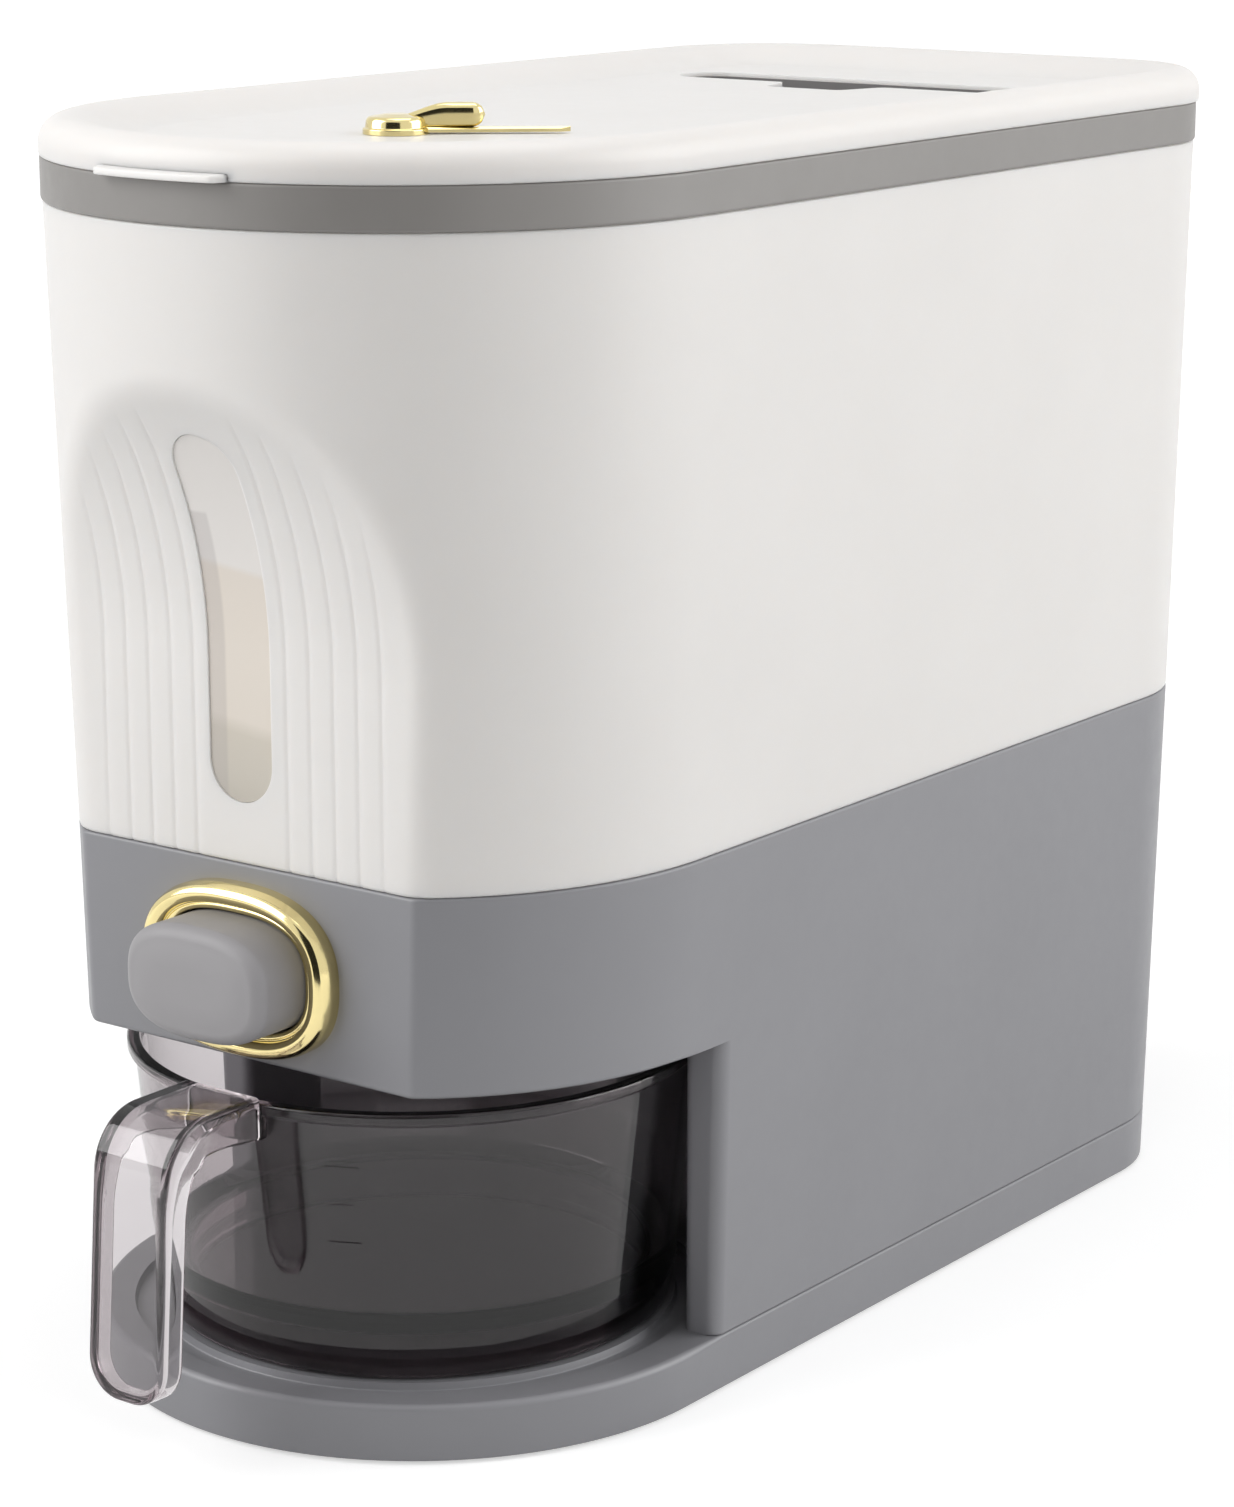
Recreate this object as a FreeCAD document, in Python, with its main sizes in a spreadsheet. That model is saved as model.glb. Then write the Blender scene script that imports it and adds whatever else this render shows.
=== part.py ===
"""Rice dispenser with a pull-out cup, built as separate named pieces in millimetres.

The row frame has its origin on the floor under the middle of the base, +X to the right,
+Y to the back and +Z up.
"""
import FreeCAD, Part
import math
import os
import Sketcher

DOC = FreeCAD.newDocument("RiceDispenser")
SHEET = DOC.addObject("Spreadsheet::Sheet", "Dims")
NODES = {}
SPRING_SIDES = 6

# name, value in mm (or as the name says)
VALUES = [
    # plan outline of the body: a straight-sided box with a round front
    ("cheek_wall", 9.6), ("draft", 0.021), ("body_back", 208.9), ("back_corner", 46.0), ("front_centre", -89.9),
    # levels from the floor
    ("foot_stand", 1.0), ("plate_top", 17.9), ("bay_top", 108.5), ("seam_z", 165.9), ("band_low", 346.1),
    ("lid_low", 358.4), ("lid_high", 369.0),
    # walls
    ("wall", 3.5), ("floor_wall", 3.0),
    # base plate and its cover
    ("plate_round", 2.6), ("cover_thick", 3.0), ("cover_inset", 3.0), ("ledge_inset", 6.5), ("cover_gap", 0.2),
    ("plate_skin", 4.2), ("moat_clear", 1.5), ("moat_wide", 7.5), ("moat_deep", 2.2), ("rib_thick", 2.0),
    # feet
    ("foot_r", 9.0), ("foot_sink", 1.5), ("foot_side", 32.6), ("foot_front", -123.9), ("foot_inset", 30.8),
    ("foot_gap", 0.15),
    # bay for the cup
    ("cup_y", -93.9), ("bay_clear", 1.5), ("cheek_front", -75.9), ("cheek_round", 4.0), ("rear_start", -21.9),
    # flat facet on the front, with its arched top
    ("facet_y", -168.8), ("facet_edge", 4.5), ("arch_start", 225.0), ("arch_r", 130.0), ("arch_rise", 100.0),
    ("front_reach", -249.9),
    # upper body
    ("top_swell", 5.5), ("back_swell", 5.2), ("top_centre", -93.7), ("top_corner", 48.0),
    ("flute_first", 17.0), ("flute_pitch", 8.5), ("flute_deep", 0.8), ("flute_wide", 1.3),
    ("slot_half", 11.5), ("slot_low", 183.5), ("slot_high", 289.0), ("lens_gap", 0.1), ("lens_sink", 0.6),
    ("lens_flange", 3.0), ("lens_back", 1.6),
    # collar band
    ("band_proud", 0.5), ("band_wall", 5.2),
    # funnel
    ("throat_half", 18.0), ("throat_front", -109.9), ("throat_back", -97.9), ("funnel_low", 138.0),
    ("funnel_skin", 3.0), ("funnel_side", 4.0), ("funnel_rise", 109.0), ("funnel_top_x", 157.0),
    ("funnel_top_front", -197.9), ("funnel_top_back", 222.1), ("funnel_gap", 0.3),
    # shutter and its guide
    ("guide_half", 30.0), ("guide_margin", 24.0), ("gate_low", 126.0), ("gate_thick", 3.0),
    ("gate_half", 24.0), ("gate_gap", 0.12), ("stroke", 12.0), ("tongue_half", 9.0), ("gate_lap", 1.0),
    ("post_half", 12.0), ("post_high", 150.0), ("post_thick", 3.0),
    # outlet below the shutter
    ("chute_wall", 2.5), ("chute_low", 104.0), ("chute_lip", 3.5), ("chute_lip_thick", 2.0), ("chute_gap", 0.15),
    # push button and its ring
    ("button_z", 135.8), ("button_half", 25.5), ("button_tall", 16.5), ("button_corner", 13.5),
    ("button_proud", 24.1), ("button_skin", 2.4), ("button_edge", 6.0), ("button_gap", 0.4),
    ("lip_out", 1.6), ("lip_thick", 2.0), ("ring_half", 34.6), ("ring_tall", 24.9), ("ring_corner", 21.5),
    ("ring_high", 7.4), ("ring_edge", 5.6), ("ring_inner_edge", 2.2),
    # return spring
    ("spring_z", 141.4), ("spring_r", 5.2), ("spring_wire", 0.7), ("spring_turns", 6.0), ("spring_pin", 2.6),
    ("spring_pin_long", 12.0),
    # lid
    ("lid_proud", 0.7), ("lid_over", 1.4), ("lid_round", 7.0), ("lid_floor", 363.0), ("lid_skin", 3.0),
    ("dish_margin", 8.3), ("dish_inset", 21.8), ("plug_fit", 0.8), ("plug_swing", 3.3), ("plug_wall", 2.6),
    ("plug_low", 350.0),
    ("tab_half", 25.0), ("tab_out", 4.2), ("tab_thick", 2.0), ("gasket_low", 352.2), ("gasket_high", 355.2),
    ("gasket_out", 0.4),
    # recess in the lid with the moisture box
    ("well_half", 67.0), ("well_front", 123.1), ("well_back", 147.1), ("notch_half", 15.0), ("notch_front", 105.1),
    ("tray_wall", 1.6), ("tray_low", 342.0), ("tray_margin", 2.5), ("shelf_high", 351.0), ("shelf_long", 7.0),
    ("grille_thick", 1.8), ("grille_gap", 0.5), ("grille_slot", 2.6), ("grille_pitch", 6.0), ("grille_rim", 4.0),
    # dial pointer
    ("dial_y", -97.9), ("hub_r", 9.5), ("hub_high", 5.6), ("hub_round", 2.6), ("spindle_r", 2.0),
    ("spindle_gap", 0.06), ("spindle_high", 3.6), ("pointer_long", 49.0), ("pointer_root", 3.4), ("pointer_tip", 1.6),
    ("pointer_low", 0.5), ("pointer_thick", 1.4), ("pointer_turn", 38.5), ("wing_long", 25.0), ("wing_high", 8.4),
    ("wing_thick", 3.2),
    # hinge
    ("pivot_out", 4.6), ("pivot_z", 352.6), ("knuckle_r", 4.2), ("pin_r", 1.5), ("pin_gap", 0.05),
    ("knuckle_half", 4.7), ("ear_thick", 4.0), ("ear_gap", 0.3), ("hinge_x", 42.0), ("knuckle_clear", 0.5),
    # cup
    ("foot_in", 10.0), ("heel_in", 8.2), ("cup_heel_z", 28.0), ("rim_out", 2.2), ("rim_r", 85.5),
    ("rim_low", 97.6), ("cup_high", 100.6), ("cup_wall", 2.2), ("cup_floor", 34.5), ("cup_under", 31.3),
    ("foot_ring", 6.5), ("heel_round", 6.0),
    # cup handle
    ("pad_proud", 0.5), ("pad_low", 90.0), ("handle_half", 14.0), ("handle_rise", 2.4), ("handle_reach", 35.5),
    ("handle_lean", 7.5), ("handle_end_z", 23.0), ("flange_deep", 8.6), ("handle_web", 2.4),
    ("handle_flange", 2.2), ("bend_out", 17.0), ("bend_in", 8.0), ("handle_tip_round", 11.5),
]

# sizes that follow from others
DERIVED = {
    "base_half": "rim_r + bay_clear + cheek_wall",
    "top_half": "base_half + top_swell",
    "top_back": "body_back + back_swell",
    "foot_x": "base_half - foot_side",
    "foot_back": "body_back - foot_inset",
    "cup_foot": "rim_r - foot_in",
    "cup_heel": "rim_r - heel_in",
    "cup_top_r": "rim_r - rim_out",
    "moat_in": "cup_foot + moat_clear",
    "moat_out": "cup_foot + moat_clear + moat_wide",
    "band_half": "top_half + band_proud",
    "band_inner": "top_half + band_proud - band_wall",
    "band_back": "top_back - band_wall",
    "lid_half": "top_half + lid_proud",
    "lid_back": "top_back + lid_over",
    "dish_rim": "top_half + lid_proud - dish_margin",
    "dish_floor": "top_half + lid_proud - dish_inset",
    "plug_half": "top_half + band_proud - band_wall - plug_fit",
    "plug_back": "top_back - band_wall - plug_swing",
    "pivot_y": "top_back + pivot_out",
    "bay_r": "rim_r + bay_clear",
    "pad_front": "cup_y - rim_r - pad_proud",
    "handle_top": "cup_high + handle_rise",
    "handle_bend_y": "cup_y - rim_r - pad_proud - handle_reach",
    "handle_end_y": "cup_y - rim_r - pad_proud - handle_reach - handle_lean",
    "guide_front": "throat_front - guide_margin",
    "guide_back": "throat_back + guide_margin",
    "button_front": "facet_y - button_proud",
}


def fill_sheet():
    """Write every size once, with a word as its name."""
    for row, (name, value) in enumerate(VALUES, start=1):
        SHEET.set("A%d" % row, name)
        SHEET.set("B%d" % row, str(value))
        SHEET.setAlias("B%d" % row, name)
    DOC.recompute()


def val(name):
    """Return the number that stands in the sheet under a name."""
    return float(getattr(SHEET, name))


def spell(text):
    """Write out the sizes that follow from others, each in brackets."""
    out = []
    word = ""
    for char in text + " ":
        if char.isalnum() or char == "_":
            word += char
            continue
        out.append("(%s)" % spell(DERIVED[word]) if word in DERIVED else word)
        word = ""
        out.append(char)
    return "".join(out).strip()


def ex(text):
    """Put the sheet's name in front of each size named in an expression."""
    out = []
    word = ""
    for char in spell(text) + " ":
        if char.isalnum() or char == "_":
            word += char
            continue
        out.append("Dims." + word if word in KNOWN else word)
        word = ""
        out.append(char)
    return "".join(out).strip()


KNOWN = {name for name, _ in VALUES}


def num(text):
    """Work out the number of an expression made of sizes and + - * / ( )."""
    tokens = ex(text).replace("Dims.", "").replace("(", " ( ").replace(")", " ) ")
    for sign in "+*/":
        tokens = tokens.replace(sign, " %s " % sign)
    tokens = tokens.replace("-", " - ").split()
    return parse_sum(tokens)


def parse_sum(tokens):
    """Add and subtract the terms of a token list, from the left."""
    total = parse_product(tokens)
    while tokens and tokens[0] in "+-":
        sign = tokens.pop(0)
        term = parse_product(tokens)
        total = total + term if sign == "+" else total - term
    return total


def parse_product(tokens):
    """Multiply and divide the factors of a token list, from the left."""
    total = parse_factor(tokens)
    while tokens and tokens[0] in "*/":
        sign = tokens.pop(0)
        factor = parse_factor(tokens)
        total = total * factor if sign == "*" else total / factor
    return total


def parse_factor(tokens):
    """Read one number, size, negated factor or bracket."""
    token = tokens.pop(0)
    if token == "-":
        return -parse_factor(tokens)
    if token == "(":
        inner = parse_sum(tokens)
        tokens.pop(0)
        return inner
    return val(token) if token in KNOWN else float(token)


def bind(obj, path, text):
    """Bind one property of an object to an expression of sizes."""
    obj.setExpression(path, ex(text))


def place(obj, x="0", y="0", z="0"):
    """Bind an object's position."""
    bind(obj, "Placement.Base.x", x)
    bind(obj, "Placement.Base.y", y)
    bind(obj, "Placement.Base.z", z)


def box(name, x0, x1, y0, y1, z0, z1):
    """Make a block between six planes given as expressions."""
    obj = DOC.addObject("Part::Box", name)
    bind(obj, "Length", "(%s) - (%s)" % (x1, x0))
    bind(obj, "Width", "(%s) - (%s)" % (y1, y0))
    bind(obj, "Height", "(%s) - (%s)" % (z1, z0))
    place(obj, x0, y0, z0)
    return obj


def slab(name, half, y0, y1, z0, z1):
    """Make a block that is centred on x = 0."""
    return box(name, "-(%s)" % half, half, y0, y1, z0, z1)


def pill_slab(name, half, y0, y1, z0, z1):
    """Make a block with half-round ends that is centred on x = 0."""
    radius = "((%s) - (%s)) / 2" % (y1, y0)
    middle = "((%s) + (%s)) / 2" % (y1, y0)
    reach = "(%s) - %s" % (half, radius)
    high = "(%s) - (%s)" % (z1, z0)
    return fuse(name,
                slab(name + "Bar", reach, y0, y1, z0, z1),
                rod(name + "EndLeft", radius, "-(%s)" % reach, middle, z0, high),
                rod(name + "EndRight", radius, reach, middle, z0, high))


def rod(name, radius, x, y, z, length, axis="z"):
    """Make a cylinder that starts at a point and runs along +X, +Y or +Z."""
    obj = DOC.addObject("Part::Cylinder", name)
    bind(obj, "Radius", radius)
    bind(obj, "Height", length)
    turn = {"z": (0, 0, 1, 0), "x": (0, 1, 0, 90), "y": (1, 0, 0, -90)}[axis]
    spin = FreeCAD.Rotation(FreeCAD.Vector(*turn[:3]), turn[3])
    obj.Placement = FreeCAD.Placement(FreeCAD.Vector(0, 0, 0), spin)
    place(obj, x, y, z)
    return obj


def cut(name, base, *tools):
    """Take each tool away from a base."""
    tool = tools[0] if len(tools) == 1 else fuse(name + "Tools", *tools)
    obj = DOC.addObject("Part::Cut", name)
    obj.Base = base
    obj.Tool = tool
    return obj


def fuse(name, *shapes):
    """Join shapes into one."""
    obj = DOC.addObject("Part::MultiFuse", name)
    obj.Shapes = list(shapes)
    obj.Refine = True
    return obj


def common(name, *shapes):
    """Keep what all shapes share."""
    obj = DOC.addObject("Part::MultiCommon", name)
    obj.Shapes = list(shapes)
    return obj


def plane_of(body, role):
    """Return one of a body's own origin planes."""
    for feature in body.Origin.OriginFeatures:
        if feature.Role == role:
            return feature
    raise ValueError(role)


def new_sketch(body, name, role, offset):
    """Add a sketch on one of a body's planes, moved along that plane's normal."""
    sketch = body.newObject("Sketcher::SketchObject", name)
    sketch.AttachmentSupport = [(plane_of(body, role), "")]
    sketch.MapMode = "FlatFace"
    bind(sketch, "AttachmentOffset.Base.z", offset)
    return sketch


def free_sketch(name, z):
    """Add a sketch that lies flat at a height and belongs to no body."""
    sketch = DOC.addObject("Sketcher::SketchObject", name)
    place(sketch, "0", "0", z)
    return sketch


def hold(sketch, kind, *args):
    """Add a constraint, and bind it when its last argument is an expression."""
    if isinstance(args[-1], str):
        index = sketch.addConstraint(Sketcher.Constraint(kind, *args[:-1], num(args[-1])))
        bind(sketch, "Constraints[%d]" % index, args[-1])
        return
    sketch.addConstraint(Sketcher.Constraint(kind, *args))


def draw_polygon(sketch, points):
    """Draw a closed polygon whose corners are pairs of expressions."""
    spots = [FreeCAD.Vector(num(u), num(v), 0) for u, v in points]
    count = len(spots)
    for index in range(count):
        sketch.addGeometry(Part.LineSegment(spots[index], spots[(index + 1) % count]), False)
    for index in range(count):
        hold(sketch, "Coincident", index, 2, (index + 1) % count, 1)
    for index, (u, v) in enumerate(points):
        hold(sketch, "DistanceX", -1, 1, index, 1, u)
        hold(sketch, "DistanceY", -1, 1, index, 1, v)


def draw_outline(sketch, half, back, corner, centre):
    """Draw the plan outline: round front, straight sides and two rounded back corners."""
    a, b, r, c = num(half), num(back), num(corner), num(centre)
    vec = FreeCAD.Vector
    quarter = math.pi / 2
    sketch.addGeometry(Part.LineSegment(vec(a, c, 0), vec(a, b - r, 0)), False)
    sketch.addGeometry(Part.ArcOfCircle(Part.Circle(vec(a - r, b - r, 0), vec(0, 0, 1), r), 0, quarter), False)
    sketch.addGeometry(Part.LineSegment(vec(a - r, b, 0), vec(r - a, b, 0)), False)
    left = Part.Circle(vec(r - a, b - r, 0), vec(0, 0, 1), r)
    sketch.addGeometry(Part.ArcOfCircle(left, quarter, 2 * quarter), False)
    sketch.addGeometry(Part.LineSegment(vec(-a, b - r, 0), vec(-a, c, 0)), False)
    front = Part.Circle(vec(0, c, 0), vec(0, 0, 1), a)
    sketch.addGeometry(Part.ArcOfCircle(front, 2 * quarter, 4 * quarter), False)
    for first, second in ((0, 1), (1, 2), (2, 3), (3, 4), (4, 5), (5, 0)):
        hold(sketch, "Tangent", first, 2, second, 1)
    hold(sketch, "Vertical", 0)
    hold(sketch, "Vertical", 4)
    hold(sketch, "Horizontal", 2)
    hold(sketch, "Radius", 5, half)
    hold(sketch, "Radius", 1, corner)
    hold(sketch, "Equal", 1, 3)
    hold(sketch, "PointOnObject", 5, 3, -2)
    hold(sketch, "DistanceY", -1, 1, 5, 3, centre)
    hold(sketch, "DistanceY", -1, 1, 2, 1, back)


def draw_pill(sketch, half, tall, corner, middle):
    """Draw an upright rectangle with rounded corners, centred on x = 0."""
    a, b, r, m = num(half), num(tall), num(corner), num(middle)
    vec = FreeCAD.Vector
    quarter = math.pi / 2
    spots = [(a - r, m + b - r, 0), (r - a, m + b - r, 1), (r - a, m - b + r, 2), (a - r, m - b + r, 3)]
    for x, y, turn in spots:
        circle = Part.Circle(vec(x, y, 0), vec(0, 0, 1), r)
        sketch.addGeometry(Part.ArcOfCircle(circle, turn * quarter, (turn + 1) * quarter), False)
    sketch.addGeometry(Part.LineSegment(vec(a - r, m + b, 0), vec(r - a, m + b, 0)), False)
    sketch.addGeometry(Part.LineSegment(vec(-a, m + b - r, 0), vec(-a, m - b + r, 0)), False)
    sketch.addGeometry(Part.LineSegment(vec(r - a, m - b, 0), vec(a - r, m - b, 0)), False)
    sketch.addGeometry(Part.LineSegment(vec(a, m - b + r, 0), vec(a, m + b - r, 0)), False)
    for first, second in ((0, 4), (4, 1), (1, 5), (5, 2), (2, 6), (6, 3), (3, 7), (7, 0)):
        hold(sketch, "Tangent", first, 2, second, 1)
    for line in (4, 6):
        hold(sketch, "Horizontal", line)
    for line in (5, 7):
        hold(sketch, "Vertical", line)
    for arc in (1, 2, 3):
        hold(sketch, "Equal", 0, arc)
    hold(sketch, "Radius", 0, corner)
    hold(sketch, "DistanceX", -1, 1, 7, 1, half)
    hold(sketch, "DistanceX", 5, 1, -1, 1, half)
    hold(sketch, "DistanceY", -1, 1, 4, 1, "(%s) + (%s)" % (middle, tall))
    hold(sketch, "DistanceY", -1, 1, 6, 1, "(%s) - (%s)" % (middle, tall))


def pad(body, sketch, name, length, taper=None):
    """Pad a sketch, with its sides leaning outwards when a taper is given."""
    feature = body.newObject("PartDesign::Pad", name)
    feature.Profile = sketch
    bind(feature, "Length", length)
    if taper:
        bind(feature, "TaperAngle", taper)
    sketch.Visibility = False
    body.Tip = feature
    return feature


def outline_block(name, half, back, corner, centre, low, high, taper=None):
    """Make a body with the plan outline between two heights."""
    body = DOC.addObject("PartDesign::Body", name)
    sketch = new_sketch(body, name + "Plan", "XY_Plane", low)
    draw_outline(sketch, half, back, corner, centre)
    pad(body, sketch, name + "Pad", "(%s) - (%s)" % (high, low), taper)
    return body


def pill_block(name, half, tall, corner, middle, back, front):
    """Make a body with a rounded upright outline, from a back plane forward to a front plane."""
    body = DOC.addObject("PartDesign::Body", name)
    sketch = new_sketch(body, name + "Front", "XZ_Plane", "-(%s)" % back)
    draw_pill(sketch, half, tall, corner, middle)
    pad(body, sketch, name + "Pad", "(%s) - (%s)" % (back, front))
    return body


def soften(body, name, radius, pick):
    """Round those edges of a body that a test picks."""
    DOC.recompute()
    base = body.Tip
    edges = ["Edge%d" % (i + 1) for i, edge in enumerate(base.Shape.Edges) if pick(edge)]
    if not edges:
        raise ValueError(name + " picks no edge")
    feature = body.newObject("PartDesign::Fillet", name)
    feature.Base = (base, edges)
    bind(feature, "Radius", radius)
    body.Tip = feature
    return feature


def round_edges(name, base, radius, pick):
    """Round those edges of a plain solid that a test picks."""
    DOC.recompute()
    size = num(radius)
    edges = [(i + 1, size, size) for i, edge in enumerate(base.Shape.Edges) if pick(edge)]
    if not edges:
        raise ValueError(name + " picks no edge")
    obj = DOC.addObject("Part::Fillet", name)
    obj.Base = base
    obj.Edges = edges
    return obj


def spans(edge, **limits):
    """Tell whether an edge's box has each given limit, such as zmin=3, to 0.05 mm."""
    bounds = edge.BoundBox
    names = {"xmin": bounds.XMin, "xmax": bounds.XMax, "ymin": bounds.YMin, "ymax": bounds.YMax,
             "zmin": bounds.ZMin, "zmax": bounds.ZMax}
    return all(abs(names[key] - wanted) < 0.05 for key, wanted in limits.items())


def keep(node, obj):
    """Note a finished piece under its node name."""
    NODES[node] = obj


def facet_profile(body, shift):
    """Draw the side view of what the facet takes away, moved back by a shift."""
    sketch = new_sketch(body, body.Name + "Side", "YZ_Plane", "0")
    vec = FreeCAD.Vector
    face, start, r = num("facet_y + (%s)" % shift), num("arch_start"), num("arch_r")
    rise, reach, low = num("arch_rise"), num("front_reach"), num("bay_top - 4")
    drop = math.sqrt(r * r - rise * rise)
    end = face - r + drop
    corners = [vec(end, start + rise, 0), vec(reach, start + rise, 0), vec(reach, low, 0), vec(face, low, 0),
               vec(face, start, 0)]
    for first, second in zip(corners, corners[1:]):
        sketch.addGeometry(Part.LineSegment(first, second), False)
    circle = Part.Circle(vec(face - r, start, 0), vec(0, 0, 1), r)
    sketch.addGeometry(Part.ArcOfCircle(circle, 0, math.asin(rise / r)), False)
    for index in range(3):
        hold(sketch, "Coincident", index, 2, index + 1, 1)
    hold(sketch, "Tangent", 3, 2, 4, 1)
    hold(sketch, "Coincident", 4, 2, 0, 1)
    hold(sketch, "Horizontal", 0)
    hold(sketch, "Vertical", 1)
    hold(sketch, "Horizontal", 2)
    hold(sketch, "Vertical", 3)
    hold(sketch, "Radius", 4, "arch_r")
    hold(sketch, "DistanceX", -1, 1, 3, 1, "facet_y + (%s)" % shift)
    hold(sketch, "DistanceY", -1, 1, 3, 1, "bay_top - 4")
    hold(sketch, "DistanceX", -1, 1, 1, 1, "front_reach")
    hold(sketch, "DistanceY", -1, 1, 4, 3, "arch_start")
    hold(sketch, "DistanceY", -1, 1, 1, 1, "arch_start + arch_rise")
    return sketch


def facet_cutter(name, shift):
    """Make the solid that cuts the arched facet, its face moved back by a shift."""
    body = DOC.addObject("PartDesign::Body", name)
    feature = pad(body, facet_profile(body, shift), name + "Pad", "base_half * 2.4")
    feature.Midplane = True
    return body


def flute_cutters():
    """Make the ten fine upright grooves that follow the facet."""
    body = DOC.addObject("PartDesign::Body", "Flutes")
    sketch = facet_profile(body, "flute_deep")
    bind(sketch, "AttachmentOffset.Base.z", "flute_first - flute_wide / 2")
    feature = pad(body, sketch, "FlutesPad", "flute_wide")
    DOC.recompute()
    row = body.newObject("PartDesign::LinearPattern", "FlutesRow")
    row.Originals = [feature]
    row.Direction = (sketch, ["N_Axis"])
    bind(row, "Length", "flute_pitch * 4")
    row.Occurrences = 5
    body.Tip = row
    DOC.recompute()
    both = DOC.addObject("Part::Mirroring", "FlutesMirror")
    both.Source = body
    both.Normal = FreeCAD.Vector(1, 0, 0)
    return body, both


def slot_block(name, grow):
    """Make the upright slot with round ends, grown on every side."""
    half = "slot_half + (%s)" % grow
    front = "front_reach"
    long = "facet_y + 25 - front_reach"
    shank = slab(name + "Shank", half, front, "facet_y + 25", "slot_low + slot_half", "slot_high - slot_half")
    low = rod(name + "Low", half, "0", front, "slot_low + slot_half", long, "y")
    high = rod(name + "High", half, "0", front, "slot_high - slot_half", long, "y")
    return fuse(name, shank, low, high)


def build_base():
    """Base plate with the groove round the cup's stand, its bottom cover and four feet."""
    taper = "atan(draft)"
    whole = outline_block("PlateWhole", "base_half", "body_back", "back_corner", "front_centre", "foot_stand",
                          "plate_top", taper)
    front_box = slab("PlateFrontBox", "base_half * 1.3", "front_reach", "cheek_front", "0", "plate_top * 2")
    rear_box = slab("PlateRearBox", "base_half * 1.3", "front_reach", "cheek_front", "0", "plate_top * 2")
    front = common("PlateFront", whole, front_box)
    DOC.recompute()
    top, stop = num("plate_top"), num("cheek_front")
    front = round_edges("PlateFrontRound", front, "plate_round",
                        lambda e: spans(e, zmin=top, zmax=top) and e.BoundBox.YMin < stop - 0.5)
    rear = cut("PlateRear", whole, rear_box)
    body = fuse("PlateBlank", front, rear)
    low = outline_block("PlateLedge", "base_half - cover_inset", "body_back - cover_inset",
                        "back_corner - cover_inset", "front_centre", "0", "foot_stand + cover_thick")
    high = outline_block("PlateHollow", "base_half - ledge_inset", "body_back - ledge_inset",
                         "back_corner - ledge_inset", "front_centre", "0", "plate_top - plate_skin")
    ribs = []
    for index, x in enumerate(("-base_half / 2", "0", "base_half / 2")):
        ribs.append(box("PlateRibY%d" % index, "%s - rib_thick / 2" % x, "%s + rib_thick / 2" % x, "front_reach", "-front_reach",
                        "foot_stand + cover_thick", "plate_top"))
    for index, y in enumerate(("-100", "0", "100")):
        ribs.append(slab("PlateRibX%d" % index, "110", "%s - rib_thick / 2" % y, "%s + rib_thick / 2" % y,
                         "foot_stand + cover_thick", "plate_top"))
    hollow = cut("PlateCells", high, *ribs)
    ring = cut("MoatRing",
               rod("MoatOut", "moat_out", "0", "cup_y", "plate_top - moat_deep", "moat_deep + 5"),
               rod("MoatIn", "moat_in", "0", "cup_y", "plate_top - moat_deep - 1", "moat_deep + 9"))
    keep("base_plate", cut("BasePlate", body, low, hollow, ring))
    build_cover_and_feet()


def build_cover_and_feet():
    """Bottom cover that closes the base plate, with a seat for each foot."""
    cover = outline_block("CoverBlank", "base_half - cover_inset - cover_gap", "body_back - cover_inset - cover_gap",
                          "back_corner - cover_inset - cover_gap", "front_centre", "foot_stand",
                          "foot_stand + cover_thick")
    seats = []
    spots = {"front_left": ("-foot_x", "foot_front"), "front_right": ("foot_x", "foot_front"),
             "back_left": ("-foot_x", "foot_back"), "back_right": ("foot_x", "foot_back")}
    for name, (x, y) in spots.items():
        seats.append(rod("Seat_" + name, "foot_r + foot_gap", x, y, "0", "foot_stand + foot_sink"))
        keep("foot_" + name, rod("Foot_" + name, "foot_r", x, y, "0", "foot_stand + foot_sink"))
    keep("bottom_cover", cut("BottomCover", cover, *seats))


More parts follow.
